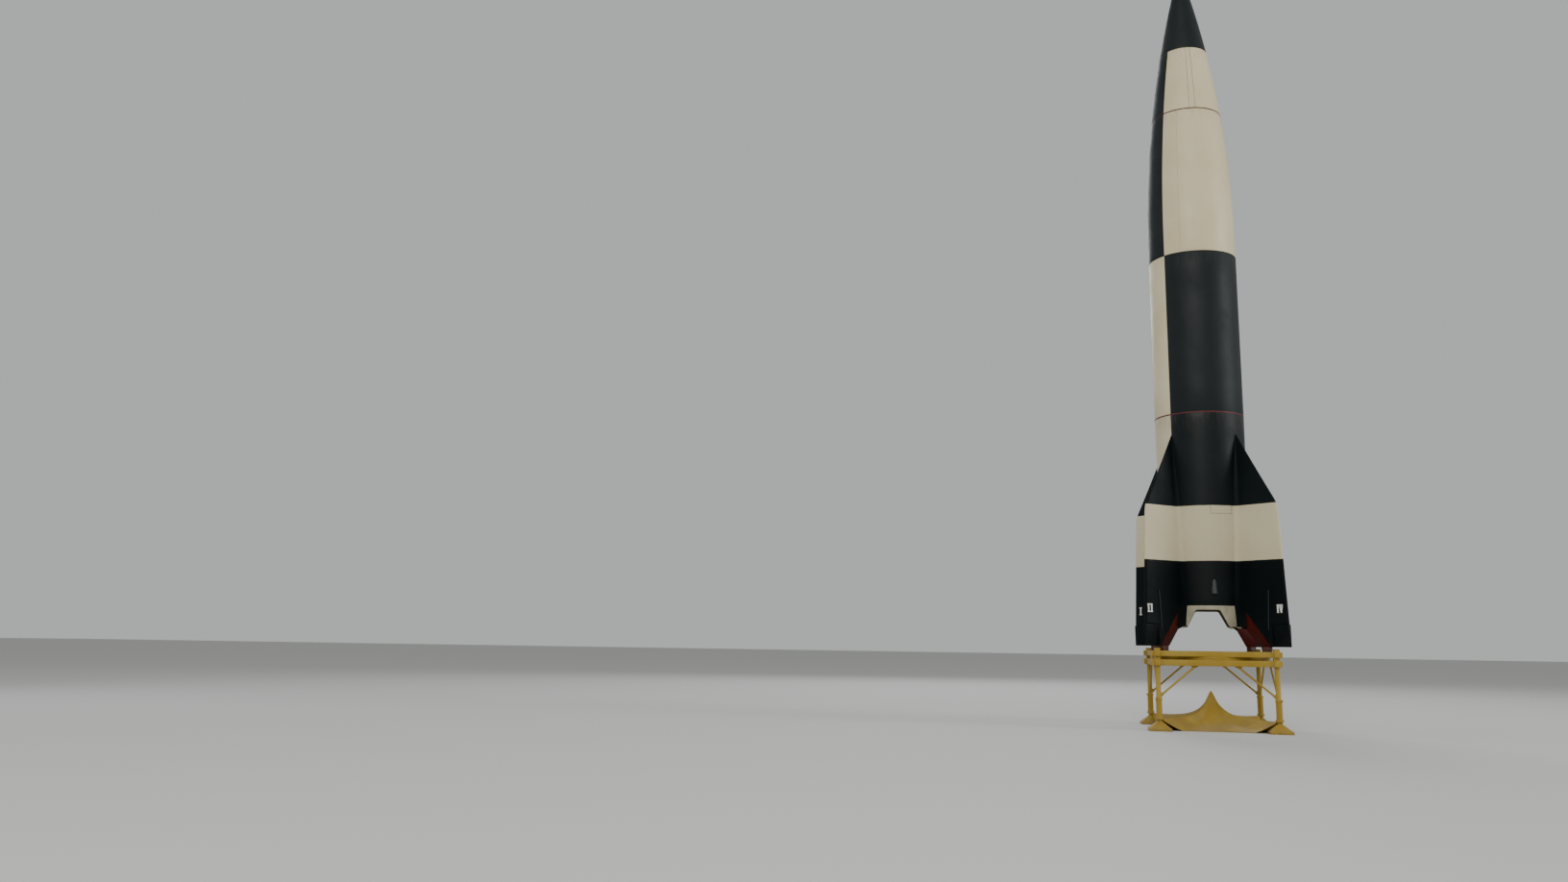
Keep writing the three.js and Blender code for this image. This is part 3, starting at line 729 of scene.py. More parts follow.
def seam_strap(name, low, high, count, azimuth):
    """The strap behind the seam between two half shells."""
    profile = skin_profile(low + 0.004, high - 0.004, count, -SKIN - 0.0005)
    piece = turned(name, profile, 6, STRAP_SWEEP, azimuth - STRAP_SWEEP / 2)
    modify(piece, "SOLIDIFY", thickness=0.006, offset=-1.0)
    dress(smooth(piece), black)


def joint_ring(name, z, half, proud, finish):
    """The band where two body sections meet, which also closes the joint from inside."""
    low, high = body_radius(z - half), body_radius(z + half)
    inner = min(low, high) - SKIN - 0.012
    profile = [(inner, z - half), (low + proud, z - half), (high + proud, z + half), (inner, z + half)]
    piece = turned(name, above_stand(profile + profile[:1]), 192)
    soften(piece, min(0.0012, proud * 0.6), 2, 50)
    dress(smooth(piece), finish)


SECTIONS = (
    # name, low, high, levels, right paint, left paint
    ("instrument_shell", INSTRUMENTS, NOSE, 14, ivory, black),
    ("upper_centre_shell", CENTRE, INSTRUMENTS, 26, ivory, black),
    ("lower_centre_shell", TAIL, CENTRE, 6, black, ivory),
)
SIDES = ("right", "left")
for section, low, high, count, *paints in SECTIONS:
    for side, azimuth, finish in zip(SIDES, SPLIT_AZIMUTHS, paints):
        half_shell("%s_%s" % (section, side), low, high, count, azimuth, finish)
    for word, azimuth in zip("ab", SPLIT_AZIMUTHS):
        seam_strap("%s_strap_%s" % (section, word), low, high, count, azimuth)

joint_ring("joint_ring_nose", NOSE, 0.004, 0.0012, joint_brown)
joint_ring("joint_ring_instruments", INSTRUMENTS, 0.011, 0.003, joint_brown)
joint_ring("joint_ring_centre", CENTRE, 0.006, 0.0012, black)
joint_ring("joint_ring_tail", TAIL, 0.012, 0.003, joint_red)


def nose():
    """The closed nose with a shallow seam near its tip, and the fuze on it."""
    seam = 13.305
    side = skin_profile(NOSE + SEAM, seam - 0.005, 20)
    groove = skin_profile(seam - 0.002, seam + 0.002, 1, -0.003)
    upper = skin_profile(seam + 0.005, FUZE, 10)
    profile = [(0, NOSE + SEAM + STAND_TOP)] + side + groove + upper + [(0, FUZE + STAND_TOP)]
    piece = soften(turned("nose_skin", profile, 128), 0.0015, 2, 60)
    dress(smooth(piece), black, instead_of=["nose_cone"])
    # the fuze's outline: shares of the radius at its foot, and heights above it
    neck = body_radius(FUZE)
    rows = [(0, 0), (1, 0), (0.95, 0.02), (0.86, 0.06), (0.84, 0.065), (0.84, 0.072), (0.70, 0.10),
            (0.52, 0.118), (0.46, 0.14), (0.42, 0.170), (0.36, 0.180), (0.20, 0.186), (0, 0.186)]
    tip = turned("nose_fuze", above_stand([(neck * share, z + FUZE) for share, z in rows]), 48)
    dress(smooth(soften(tip, 0.0008, 2, 40)), bare_steel, instead_of=["nose_tip"])


nose()


def tail():
    """Tail shell with its bulkhead, and the ivory skirt with four notches that widen downward."""
    outer = skin_profile(SKIRT_TOP, TAIL - SEAM, 30)
    inner = skin_profile(BULKHEAD, SKIRT_TOP, 16, -TAIL_WALL)
    profile = outer + above_stand([(0, TAIL - SEAM), (0, BULKHEAD)]) + inner + outer[:1]
    shell = soften(turned("tail_skin", profile, 192), 0.002, 2, 60)
    dress(smooth(shell), tail_paint, instead_of=["tail_shell"])

    top, low = SKIRT_TOP - 0.002, SKIRT_LOW
    ring = [(SKIRT_END_RADIUS, low), (TAIL_END_RADIUS, top), (TAIL_END_RADIUS - SKIRT_WALL, top),
            (SKIRT_END_RADIUS - SKIRT_WALL, low), (SKIRT_END_RADIUS, low)]
    skirt = turned("skirt_skin", above_stand(ring), 256)
    # the notches' corners: half widths and heights
    below = SKIRT_LOW - 0.020
    corners = [(-0.380, below), (0.380, below), (0.212, NOTCH_TOP), (-0.212, NOTCH_TOP)]
    for axis in (0, 90):
        outline = [(x, -1.0, z) for x, z in above_stand(corners)]
        cutter = slab("notch_cutter", outline, (0, 2.0, 0))
        edit_mode(cutter)
        pick("edges", lambda m: abs(m.z - STAND_TOP - NOTCH_TOP) < 0.001 and abs(m.y) < 0.01)
        bpy.ops.mesh.bevel(offset=0.03, segments=5)
        object_mode()
        cut(skirt, placed(cutter, turn_z(axis + NOTCH_TURN)))
    soften(skirt, 0.0025, 2, 50)
    leaves = ["tail_skirt_leaf_%d" % number for number in FIN_AZIMUTHS]
    dress(smooth(skirt), skirt_paint, instead_of=["tail_skirt_ring"] + leaves)


tail()


def chamber():
    """The double-walled thrust chamber with its ribs, lip and feed ring. The engine takes its finish."""
    outside = [(0.400, 0.720), (0.392, 0.755), (0.372, 0.83), (0.345, 0.93), (0.317, 1.04), (0.290, 1.15),
               (0.262, 1.23), (0.245, 1.29), (0.240, 1.34), (0.246, 1.40), (0.290, 1.455), (0.350, 1.515),
               (0.408, 1.585), (0.455, 1.68), (0.490, 1.77), (0.503, 1.87), (0.507, 1.99), (0.502, 2.11),
               (0.478, 2.22), (0.430, 2.33), (0.385, 2.40), (0.320, 2.450), (0.0, 2.450)]
    inside = [(0.0, 2.37), (0.200, 2.37), (0.300, 2.36), (0.360, 2.33), (0.425, 2.235), (0.460, 2.13),
              (0.468, 1.99), (0.462, 1.84), (0.435, 1.73), (0.360, 1.60), (0.285, 1.52), (0.230, 1.455),
              (0.205, 1.40), (0.198, 1.345), (0.204, 1.29), (0.232, 1.215), (0.262, 1.135), (0.292, 1.03),
              (0.321, 0.93), (0.350, 0.82), (0.372, 0.72)]
    bell = turned("chamber_walls", above_stand(outside + inside + outside[:1]), 128)
    dress(smooth(soften(bell, 0.002, 2, 60)), dark_steel, instead_of=["thrust_chamber"])
    # heights, radii and thicknesses of the ribs, the lip and the feed ring
    rings = ((0.735, 0.400, 0.012), (0.95, 0.346, 0.008), (1.16, 0.291, 0.008), (1.34, 0.246, 0.014),
             (1.60, 0.418, 0.009), (1.86, 0.505, 0.010), (2.12, 0.503, 0.009))
    hoops = [hoop(radius, thick, z + STAND_TOP) for z, radius, thick in rings]
    dress(smooth(joined(hoops, "chamber_rings")), dark_steel)
    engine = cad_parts["engine_block"].data
    engine.materials.clear()
    engine.materials.append(dark_steel.material)


chamber()


# ---- fins and rudders, drawn in the plane of X and Z and turned to their azimuths ----

FIN_ROWS = (
    # height, outer radius, half width at the body, the fairing's reach, half thickness there, at the edge
    (3.990, 0.832, 0.010, 0.004, 0.008, 0.006),
    (3.900, 0.884, 0.019, 0.015, 0.013, 0.008),
    (3.600, 1.053, 0.046, 0.044, 0.028, 0.012),
    (3.350, 1.198, 0.064, 0.060, 0.035, 0.015),
    (3.100, 1.342, 0.082, 0.074, 0.042, 0.018),
    (2.760, 1.542, 0.106, 0.092, 0.052, 0.022),
    (2.700, 1.577, 0.109, 0.095, 0.053, 0.023),
    (2.655, 1.602, 0.111, 0.097, 0.054, 0.023),
    (2.615, 1.620, 0.112, 0.100, 0.056, 0.024),
    (2.560, 1.636, 0.112, 0.103, 0.057, 0.024),
    (2.500, 1.647, 0.111, 0.106, 0.057, 0.025),
    (2.420, 1.654, 0.110, 0.109, 0.058, 0.025),
    (2.250, 1.666, 0.108, 0.115, 0.061, 0.026),
    (1.900, 1.6845, 0.106, 0.123, 0.066, 0.028),
    (1.578, 1.702, 0.104, 0.130, 0.070, 0.030),
    (1.150, 1.7213, 0.1025, 0.130, 0.071, 0.031),
    (0.750, 1.7411, 0.101, 0.130, 0.072, 0.032),
    (0.600, 1.748, 0.083, 0.130, 0.072, 0.0325),
    (0.420, 1.757, 0.062, 0.130, 0.072, 0.033),
    (0.200, 1.769, 0.053, 0.130, 0.072, 0.033),
    (0.000, 1.780, 0.045, 0.130, 0.072, 0.033),
)


def fin_row(z):
    """The row of the table at a height, between its neighbours."""
    for upper, lower in zip(FIN_ROWS, FIN_ROWS[1:]):
        if lower[0] <= z <= upper[0]:
            share = (upper[0] - z) / (upper[0] - lower[0])
            return [a + (b - a) * share for a, b in zip(upper, lower)]
    return list(FIN_ROWS[-1])


def fin_half(r, z):
    """Half thickness of a fin's flat face."""
    _, outer, _, reach, half, edge = fin_row(z)
    start = body_radius(z) + reach
    share = min(max((r - start) / (outer - 0.05 - start), 0), 1)
    return half * (1 - share) + edge * share


def fin_loop(row):
    """One level cut: root in the body, concave fairing, flat face and rounded outer edge."""
    z, outer, root, reach, half, edge = row
    body = body_radius(z)
    nose_length = min(0.05, 0.2 * (outer - body))
    side = [(body - 0.012, root + 0.004), (body, root)]
    for t in (0.12, 0.26, 0.42, 0.60, 0.80, 1.0):
        side.append((body + reach * t, half + (root - half) * (1 - t) ** 2.2))
    for t in (0.35, 0.7, 1.0):
        r = body + reach + (outer - nose_length - body - reach) * t
        side.append((r, half + (edge - half) * t))
    for angle in (22, 42, 60, 76):
        a = math.radians(angle)
        side.append((outer - nose_length + nose_length * math.sin(a), edge * math.cos(a)))
    around = [(r, -w) for r, w in side] + [(outer, 0)] + [(r, w) for r, w in reversed(side)]
    return [(r, w, z) for r, w in around]


def trailing_cutter(side):
    """The wedge that is cut from one face so that it runs down to the trailing edge."""
    step = TRAILING_STEP[1]
    outline = [TRAILING_TOP, (TRAILING_OUT[0] + 0.015, -0.02), (TRAILING_IN[0] - 0.2, -0.02),
               (TRAILING_HEEL[0] - 0.2, step), TRAILING_STEP]
    a = Vector((TRAILING_TOP[0], fin_half(*TRAILING_TOP), TRAILING_TOP[1]))
    b = Vector((TRAILING_OUT[0], fin_half(*TRAILING_OUT), TRAILING_OUT[1]))
    c = Vector(((TRAILING_IN[0] + TRAILING_HEEL[0]) / 2, 0.010, 0.155))
    normal = (b - a).cross(c - a).normalized()

    def face(r, z):
        """Half thickness of the bevelled plane."""
        return a.y - (normal.x * (r - a.x) + normal.z * (z - a.z)) / normal.y

    return slab("trailing_cutter", [(r, face(r, z) * side, z) for r, z in outline], (0, 0.3 * side, 0))


def rudder_nose(half):
    """The round line over a rudder's axis, as (across, height) pairs."""
    return [(half * math.cos(a), RUDDER_AXIS + half * math.sin(a)) for a in levels(0, math.pi, 14)]


def rudder_room():
    """What the rudder needs in a fin: a box with a round roof over the rudder's nose."""
    roof = rudder_nose(fin_half(RUDDER_R, RUDDER_TOP) + RUDDER_GAP)
    section = [(-0.2, -0.02), (0.2, -0.02), (0.2, RUDDER_AXIS)] + roof + [(-0.2, RUDDER_AXIS)]
    return slab("rudder_cutter", [(RUDDER_R - RUDDER_GAP, w, z) for w, z in section], (0.5, 0, 0))


def make_fin():
    """A fin with its fairing, its bevelled trailing part and the room for its rudder."""
    piece = bridged("fin_form", [fin_loop(row) for row in FIN_ROWS])
    close_holes()
    inside = (TRAILING_IN[0], -0.05)
    step = TRAILING_STEP[1]
    under = [(0.3, -0.05), inside, TRAILING_IN, TRAILING_HEEL, (0.69, step), (0.3, step)]
    under_cutter = slab("under_cutter", [(r, -0.3, z) for r, z in under], (0, 0.6, 0))
    for cutter in (trailing_cutter(1), trailing_cutter(-1), under_cutter, rudder_room()):
        cut(piece, cutter)
    edit_mode(piece)
    face_out()
    object_mode()
    soften(piece, 0.002, 2, 48)
    return smooth(placed(piece, ON_STAND), 30)


def make_drive_cover(half, depth, rounding):
    """The narrow leaning cover over the rudder drive's chain, standing proud of both faces."""
    (r0, z0), (r1, z1) = DRIVE_COVER_LOW, DRIVE_COVER_HIGH
    corners = above_stand([(r0 - half, z0), (r0 + half, z0), (r1 + half, z1), (r1 - half, z1)])
    piece = slab("drive_cover_form", [(r, -depth, z) for r, z in corners], (0, 2 * depth, 0))
    return smooth(soften(piece, rounding, 4), 50)


def make_rudder():
    """A rudder blade: a wedge with a round nose about its axis, thinner towards its outer end."""
    reach = RUDDER_BLANK_END - RUDDER_R
    nose_half = fin_half(RUDDER_R, RUDDER_TOP)
    section = [(-0.006, 0.0), (0.006, 0.0)] + rudder_nose(nose_half)
    piece = slab("rudder_form", [(RUDDER_R, w, z) for w, z in section], (reach, 0, 0))
    edit_mode(piece)
    pick("verts", lambda co: co.x > RUDDER_R + reach * 0.5)
    thin = fin_half(RUDDER_BLANK_END, RUDDER_TOP) / nose_half
    bpy.ops.transform.resize(value=(1, thin, 1), center_override=(RUDDER_BLANK_END, 0, RUDDER_AXIS))
    select_whole_mesh()
    outer_top, outer_low = fin_row(RUDDER_TOP)[1], fin_row(0.0)[1]
    leaning = (1, 0, (outer_low - outer_top) / RUDDER_TOP)
    bpy.ops.mesh.bisect(plane_co=(outer_low, 0, 0), plane_no=leaning, clear_outer=True, use_fill=True)
    face_out()
    object_mode()
    soften(piece, 0.003, 3, 40)
    shaft_ends = [(RUDDER_R + step, 0, RUDDER_AXIS) for step in (-0.05, 0.03)]
    shaft = rod("rudder_shaft", *shaft_ends, 0.012)
    return smooth(placed(joined([shaft, piece], "rudder_form"), ON_STAND), 30)


fin_form = make_fin()
cover_form = make_drive_cover(0.012, 0.061, 0.0095)
# a thin pale strip in the middle of each drive cover: a painted highlight along its lit edge
highlight_strip_form = make_drive_cover(0.0045, 0.0618, 0.001)
rudder_form = make_rudder()
for number, azimuth in FIN_AZIMUTHS.items():
    place = turn_z(azimuth)
    fin, rudder = "fin_%d" % number, "rudder_%d" % number
    dress(twin(fin_form, fin + "_skin", place), fin_paint, instead_of=[fin])
    dress(twin(cover_form, fin + "_drive_covers", place), fin_paint)
    dress(twin(highlight_strip_form, fin + "_drive_cover_highlights", place), cover_grey_and_highlight)
    dress(twin(rudder_form, rudder + "_blade", place), fin_paint, rudder, [rudder])
for form in (fin_form, cover_form, highlight_strip_form, rudder_form):
    drop(form)


# ---- fin numbers ----

STROKE = 0.034
SERIF = 0.017
NUMBER_HEIGHT = 0.153
NUMBER_Z = 0.685
# for each fin: its numeral's radius and width, each stroke's x at the bottom and at the top, and the
# ends of the feet
NUMBERS = {
    1: (1.610, 0.180, [(-0.061, -0.061), (0.0, 0.0), (0.061, 0.061)], [(-0.09, 0.09)]),
    2: (1.590, 0.072, [(0.0, 0.0)], [(-0.036, 0.036)]),
    3: (1.640, 0.131, [(-0.039, -0.039), (0.039, 0.039)], [(-0.0655, 0.0655)]),
    4: (1.605, 0.122, [(-0.040, -0.040), (0.026, -0.003), (0.026, 0.048)],
        [(-0.061, -0.019), (0.010, 0.042)]),
}


def fin_number(number, side):
    """White Roman numeral plates on one face of a fin."""
    middle, width, strokes, feet = NUMBERS[number]
    low, high = NUMBER_Z - NUMBER_HEIGHT / 2, NUMBER_Z + NUMBER_HEIGHT / 2
    bars = []
    for x0, x1 in strokes:
        half = STROKE / 2 * (0.8 if x0 != x1 else 1.0)
        bars.append([(x0 - half, low), (x0 + half, low), (x1 + half, high), (x1 - half, high)])
    for x0, x1, z in [(*foot, low) for foot in feet] + [(-width / 2, width / 2, high - SERIF)]:
        bars.append([(x0, z), (x1, z), (x1, z + SERIF), (x0, z + SERIF)])
    parts = []
    for outline in bars:
        # seen from outside, right is away from the body on one face and towards it on the other
        points = [(middle - x * side, z) for x, z in outline]
        base = [(r, (fin_half(r, z) - 0.0005) * side, z + STAND_TOP) for r, z in points]
        parts.append(slab("number_bar", base, (0, 0.0020 * side, 0)))
    return joined(parts, "number_form")


for number, azimuth in FIN_AZIMUTHS.items():
    for side, word in ((-1, "a"), (1, "b")):
        plates = placed(fin_number(number, side), turn_z(azimuth))
        dress(plates, numeral_white).name = "fin_%d_number_%s" % (number, word)


# ---- small things on the rocket ----

# how deep the strips on the skin are rooted in it, and how wide and proud a gap's line of painted shade is
STRIP_ROOT = 0.003
GAP_WIDTH, GAP_PROUD = 0.005, 0.0006


def skin_bar(name, low, high, count, width, proud):
    """A thin upright strip at azimuth 0 that follows the body's skin."""
    front = skin_profile(low, high, count, proud)
    back = skin_profile(low, high, count, -STRIP_ROOT)
    outline = [(r, -width / 2, z) for r, z in front + back[::-1]]
    return slab(name, outline, (0, width, 0))


def skin_arc(name, low, high, start, sweep, proud):
    """A thin level strip on the body's skin over a sweep of azimuths."""
    front = skin_profile(low, high, 1, proud)
    back = skin_profile(low, high, 1, -STRIP_ROOT)
    piece = turned(name, front + back[::-1] + front[:1], 12, sweep, start)
    edit_mode(piece)
    close_holes()
    return piece


def hatch_outline(start):
    """The gap round a hatch in the tail's skin, drawn as dark strips of painted shade, from one azimuth
    on.
    """
    bottoms = (HATCH_LOW, HATCH_HIGH - GAP_WIDTH)
    parts = [skin_arc("edge", z, z + GAP_WIDTH, start, HATCH_SWEEP, GAP_PROUD) for z in bottoms]
    for azimuth in (start, start + HATCH_SWEEP):
        bar = skin_bar("edge", HATCH_LOW, HATCH_HIGH, 4, GAP_WIDTH, GAP_PROUD)
        parts.append(placed(bar, turn_z(azimuth)))
    return joined(parts, "hatch")


def screw_form():
    """A flat round screw head about Z."""
    settings = {"vertices": 10, "radius": 0.0055, "depth": 0.003, "location": (0, 0, -0.0005)}
    return settle(soften(begin(bpy.ops.mesh.primitive_cylinder_add, "screw", **settings), 0.0005, 1))


def screw_row(name, z, start, sweep, count, finish):
    """A level row of screws over a sweep of azimuths."""
    places = [on_skin(start + sweep * (i + 0.5) / count, z) for i in range(count)]
    return dress(scatter(screw_form(), name, places), finish)


# dark strips of painted shade for the gaps at the instrument doors' edges, the black seams and the hatches
door_edge = skin_bar("door_edge", INSTRUMENTS + 0.012, NOSE - 0.006, 14, GAP_WIDTH, 0.0007)
seam = skin_bar("seam_strip", CENTRE + 0.006, INSTRUMENTS - 0.012, 20, 0.004, 0.0004)
door_turns = [turn_z(edge + 90 * i) for i in range(4) for edge in DOOR_EDGE_AZIMUTHS]
seam_turns = [turn_z(CENTRE_SEAM_AZIMUTH + 90 * i) for i in range(4)]
black_seam = twin(seam, "seam_strip", Matrix())
# the seams on the ivory get a thin painted shadow
dress(scatter(seam, "upper_centre_seams_ivory", seam_turns[:2]), seam_shadow)
dress(scatter(door_edge, "instrument_door_edges", door_turns), gap_shade)
dress(scatter(black_seam, "upper_centre_seams_black", seam_turns[2:]), gap_shade)
hatches = [hatch_outline(HATCH_AZIMUTH + 90 * i) for i in range(4)]
dress(joined(hatches, "tail_hatch_edges"), gap_shade)

for section, low, high, count, *paints in SECTIONS:
    for word, z in (("low", low + SCREW_INSET), ("high", high - SCREW_INSET)):
        for side, azimuth, finish in zip(SIDES, SPLIT_AZIMUTHS, paints):
            screw_row("%s_%s_screws_%s" % (section, side, word), z, azimuth, 180, 30, finish)
for name, z, count, finish in (
    ("tail_screws_high", TAIL - SCREW_INSET, 60, tail_paint),
    ("tail_screws_low", SKIRT_TOP + SKIRT_SCREW_INSET, 60, tail_paint),
    ("skirt_screws", SKIRT_TOP - SKIRT_SCREW_INSET, 60, skirt_paint),
    ("nose_screws", NOSE + SCREW_INSET, 40, black),
):
    screw_row(name, z, 0, 360, count, finish)


def scoop():
    """The smooth tapered cover low on the tail, open at its lower end."""
    outer = [(0.054, 0.965), (0.0538, 0.985), (0.0525, 1.010), (0.0497, 1.060), (0.0452, 1.110),
             (0.0395, 1.155), (0.0325, 1.195), (0.0255, 1.218), (0.0165, 1.232), (0.0075, 1.2375),
             (0.0, 1.2385)]
    inner = [(0.0, 1.150), (0.020, 1.145), (0.034, 1.110), (0.0455, 1.060), (0.049, 1.010), (0.05, 0.965)]
    piece = turned("scoop", above_stand(outer + inner + outer[:1]), 48)
    return smooth(soften(piece, 0.0012, 2, 50), 45)


scoop_form = scoop()
for word, azimuth in SCOOP_AZIMUTHS.items():
    place = turn_z(azimuth) @ Matrix.Translation((body_radius(SCOOP_HEIGHT) - 0.008, 0, 0))
    dress(twin(scoop_form, "tail_scoop_" + word, place), cover_grey_and_highlight, instead_of=["tail_cover_" + word])
drop(scoop_form)

cap_low, cap_high = (0.668, -0.032, STAND_TOP + 0.338), (0.752, 0.032, STAND_TOP + 0.388)
cap_form = smooth(beam("cap", cap_low, cap_high, 0.018), 50)
for number, azimuth in FIN_AZIMUTHS.items():
    dress(twin(cap_form, "fin_%d_root_cap" % number, turn_z(azimuth)), ivory)
drop(cap_form)


# ---- the stand ----


def bolt(place, axis, radius=0.011, depth=0.009):
    """A six-sided bolt head standing on a face, pointing along an axis."""
    place, axis = Vector(place), Vector(axis)
    return soften(rod("bolt", place - axis * 0.002, place + axis * depth, radius, 6), 0.0015, 1)


def post_form():
    """A corner post with its cap and the stub ends of the rails that pass it."""
    low, high, half = CORNER - POST / 2, CORNER + POST / 2, RAIL_WIDTH / 2
    rim, cap = 0.003, POST_TOP - 0.010
    parts = [beam("post", (low, low, LOWER_BOTTOM), (high, high, cap), 0.005),
             beam("cap", (low - rim, low - rim, cap), (high + rim, high + rim, POST_TOP), 0.003)]
    for bottom, top in ((LOWER_BOTTOM, LOWER_TOP), (UPPER_BOTTOM, UPPER_TOP)):
        parts.append(beam("stub", (CORNER + 0.02, CORNER - half, bottom), (RAIL_END, CORNER + half, top)))
        parts.append(beam("stub", (CORNER - half, CORNER + 0.02, bottom), (CORNER + half, RAIL_END, top)))
        for across in (CORNER - half, CORNER + half):
            for x, y in ((high, across), (across, high)):
                parts.append(rod("weld", (x, y, bottom), (x, y, top), WELD, 8))
    return smooth(joined(parts, "post_form"), 35)


def rail_form(low, high):
    """A rail of the front side with welded end plates and a bolt pair at each end."""
    reach = CORNER - POST / 2
    front, back = -CORNER - RAIL_WIDTH / 2, -CORNER + RAIL_WIDTH / 2
    parts = [beam("rail", (-reach, front, low), (reach, back, high), 0.005)]
    middle = (low + high) / 2
    for end in (-1, 1):
        x0, x1 = sorted((end * reach, end * (reach - 0.010)))
        near, far = (x0, front - 0.005, low + 0.001), (x1, back + 0.005, high - 0.001)
        parts.append(beam("plate", near, far, 0.002))
        for z in (middle - 0.026, middle + 0.026):
            parts.append(bolt((end * (reach - 0.045), front, z), (0, -1, 0)))
    return smooth(joined(parts, "rail_form"), 35)


def leg_form():
    """A slim tube that slides in a stout one, with the clamp collar between them."""
    rows = [(0, FLANGE_TOP), (0.050, FLANGE_TOP), (0.054, 0.254), (0.054, 0.553), (0.061, 0.556),
            (0.061, 0.572), (0.0585, 0.574), (0.0585, 0.577), (0.061, 0.579), (0.061, 0.594),
            (0.0575, 0.5955), (0.046, 0.5955), (0.044, 0.599), (0.044, 1.150), (0.050, 1.156),
            (0.052, LOWER_BOTTOM), (0, LOWER_BOTTOM)]
    parts = [soften(turned("leg_tube", rows, 48), 0.0012, 2, 40),
             beam("lug", (0.056, -0.014, 0.558), (0.082, 0.014, 0.592), 0.003),
             rod("lug_bolt", (0.072, -0.026, 0.575), (0.072, 0.026, 0.575), 0.006, 12)]
    return smooth(joined(parts, "leg_form"), 35)


def foot_form():
    """A square plate with a low pyramid, a neck and the flange that carries the leg."""
    plate_half, plate_top = 0.2, 0.05
    low_half, high_half, block_top, block_depth = 0.195, 0.050, 0.165, 0.12
    plate = beam("plate", (-plate_half, -plate_half, 0), (plate_half, plate_half, plate_top))
    middle = (0, 0, block_top - block_depth / 2)
    block = begin(bpy.ops.mesh.primitive_cube_add, "block", size=1, location=middle)
    block.scale = (2 * low_half, 2 * low_half, block_depth)
    share = high_half / low_half
    resize_top(settle(block), share, share, (0, 0, block_top))
    object_mode()
    soften(block, 0.004, 3, 20)
    rim = FLANGE_RADIUS - 0.003
    rows = [(0, 0.150), (0.046, 0.150), (0.046, 0.199), (0.050, 0.205), (rim, 0.205),
            (FLANGE_RADIUS, 0.208), (FLANGE_RADIUS, 0.247), (rim, FLANGE_TOP), (0, FLANGE_TOP)]
    parts = [plate, block, turned("neck", rows, 48)]
    beads = ((0.164, 0.047, 0.0055), (0.251, 0.0545, 0.0045))
    parts += [hoop(radius, thick, z, 40, 8) for z, radius, thick in beads]
    foot = low_half - 0.002
    corners = [(x * foot, y * foot, plate_top) for x, y in ((-1, -1), (1, -1), (1, 1), (-1, 1))]
    parts += [rod("weld", start, end, WELD, 8) for start, end in zip(corners, corners[1:] + corners[:1])]
    return smooth(joined(parts, "foot_form"), 35)


# outlines of the braces' small plates, as offsets outwards and upwards from where each sits
GUSSET = ((-0.045, -0.001), (0.075, -0.001), (0.075, -0.045), (0.045, -0.055), (-0.035, -0.012))
LUG = ((0.004, -0.040), (0.004, 0.075), (-0.030, 0.045), (-0.055, 0.010))


def brace_form(end):
    """A tube brace on the front side, welded into the lower rail and the leg with small gussets."""
    x_top, z_top = BRACE_TOP
    top = Vector((end * x_top, -CORNER, z_top))
    run = Vector((end * (CORNER - x_top), 0, BRACE_FOOT_Z - z_top)).normalized()
    start = top + run * ((z_top - LOWER_BOTTOM - 0.006) / abs(run.z))
    stop = top + run * ((CORNER - x_top - 0.036) / abs(run.x))
    parts = [rod("tube", start, stop, 0.019)]
    for name, x, z, offsets in (("gusset", start.x, LOWER_BOTTOM, GUSSET), ("lug", stop.x, stop.z, LUG)):
        outline = [(x + end * dx, -CORNER - 0.004, z + dz) for dx, dz in offsets]
        parts.append(soften(slab(name, outline, (0, 0.008, 0)), 0.0015, 2))
    return smooth(joined(parts, "brace_form"), 35)


def ring_form():
    """The turntable ring with its parting groove and a circle of bolts."""
    groove = RING_OUTER - 0.005
    rows = [(RING_INNER, UPPER_BOTTOM), (RING_INNER, LOWER_TOP), (RING_OUTER, LOWER_TOP),
            (RING_OUTER, 1.296), (groove, 1.299), (groove, 1.303), (RING_OUTER, 1.306),
            (RING_OUTER, UPPER_BOTTOM), (RING_INNER, UPPER_BOTTOM)]
    ring = soften(turned("ring", rows, 160), 0.0012, 2, 40)
    head = bolt((RING_OUTER, 0, 1.323), (1, 0, 0), 0.009, 0.006)
    heads = scatter(head, "ring_bolts", [turn_z(10 * i + 5) for i in range(36)])
    return smooth(joined([heads, ring], "ring_form"), 35)


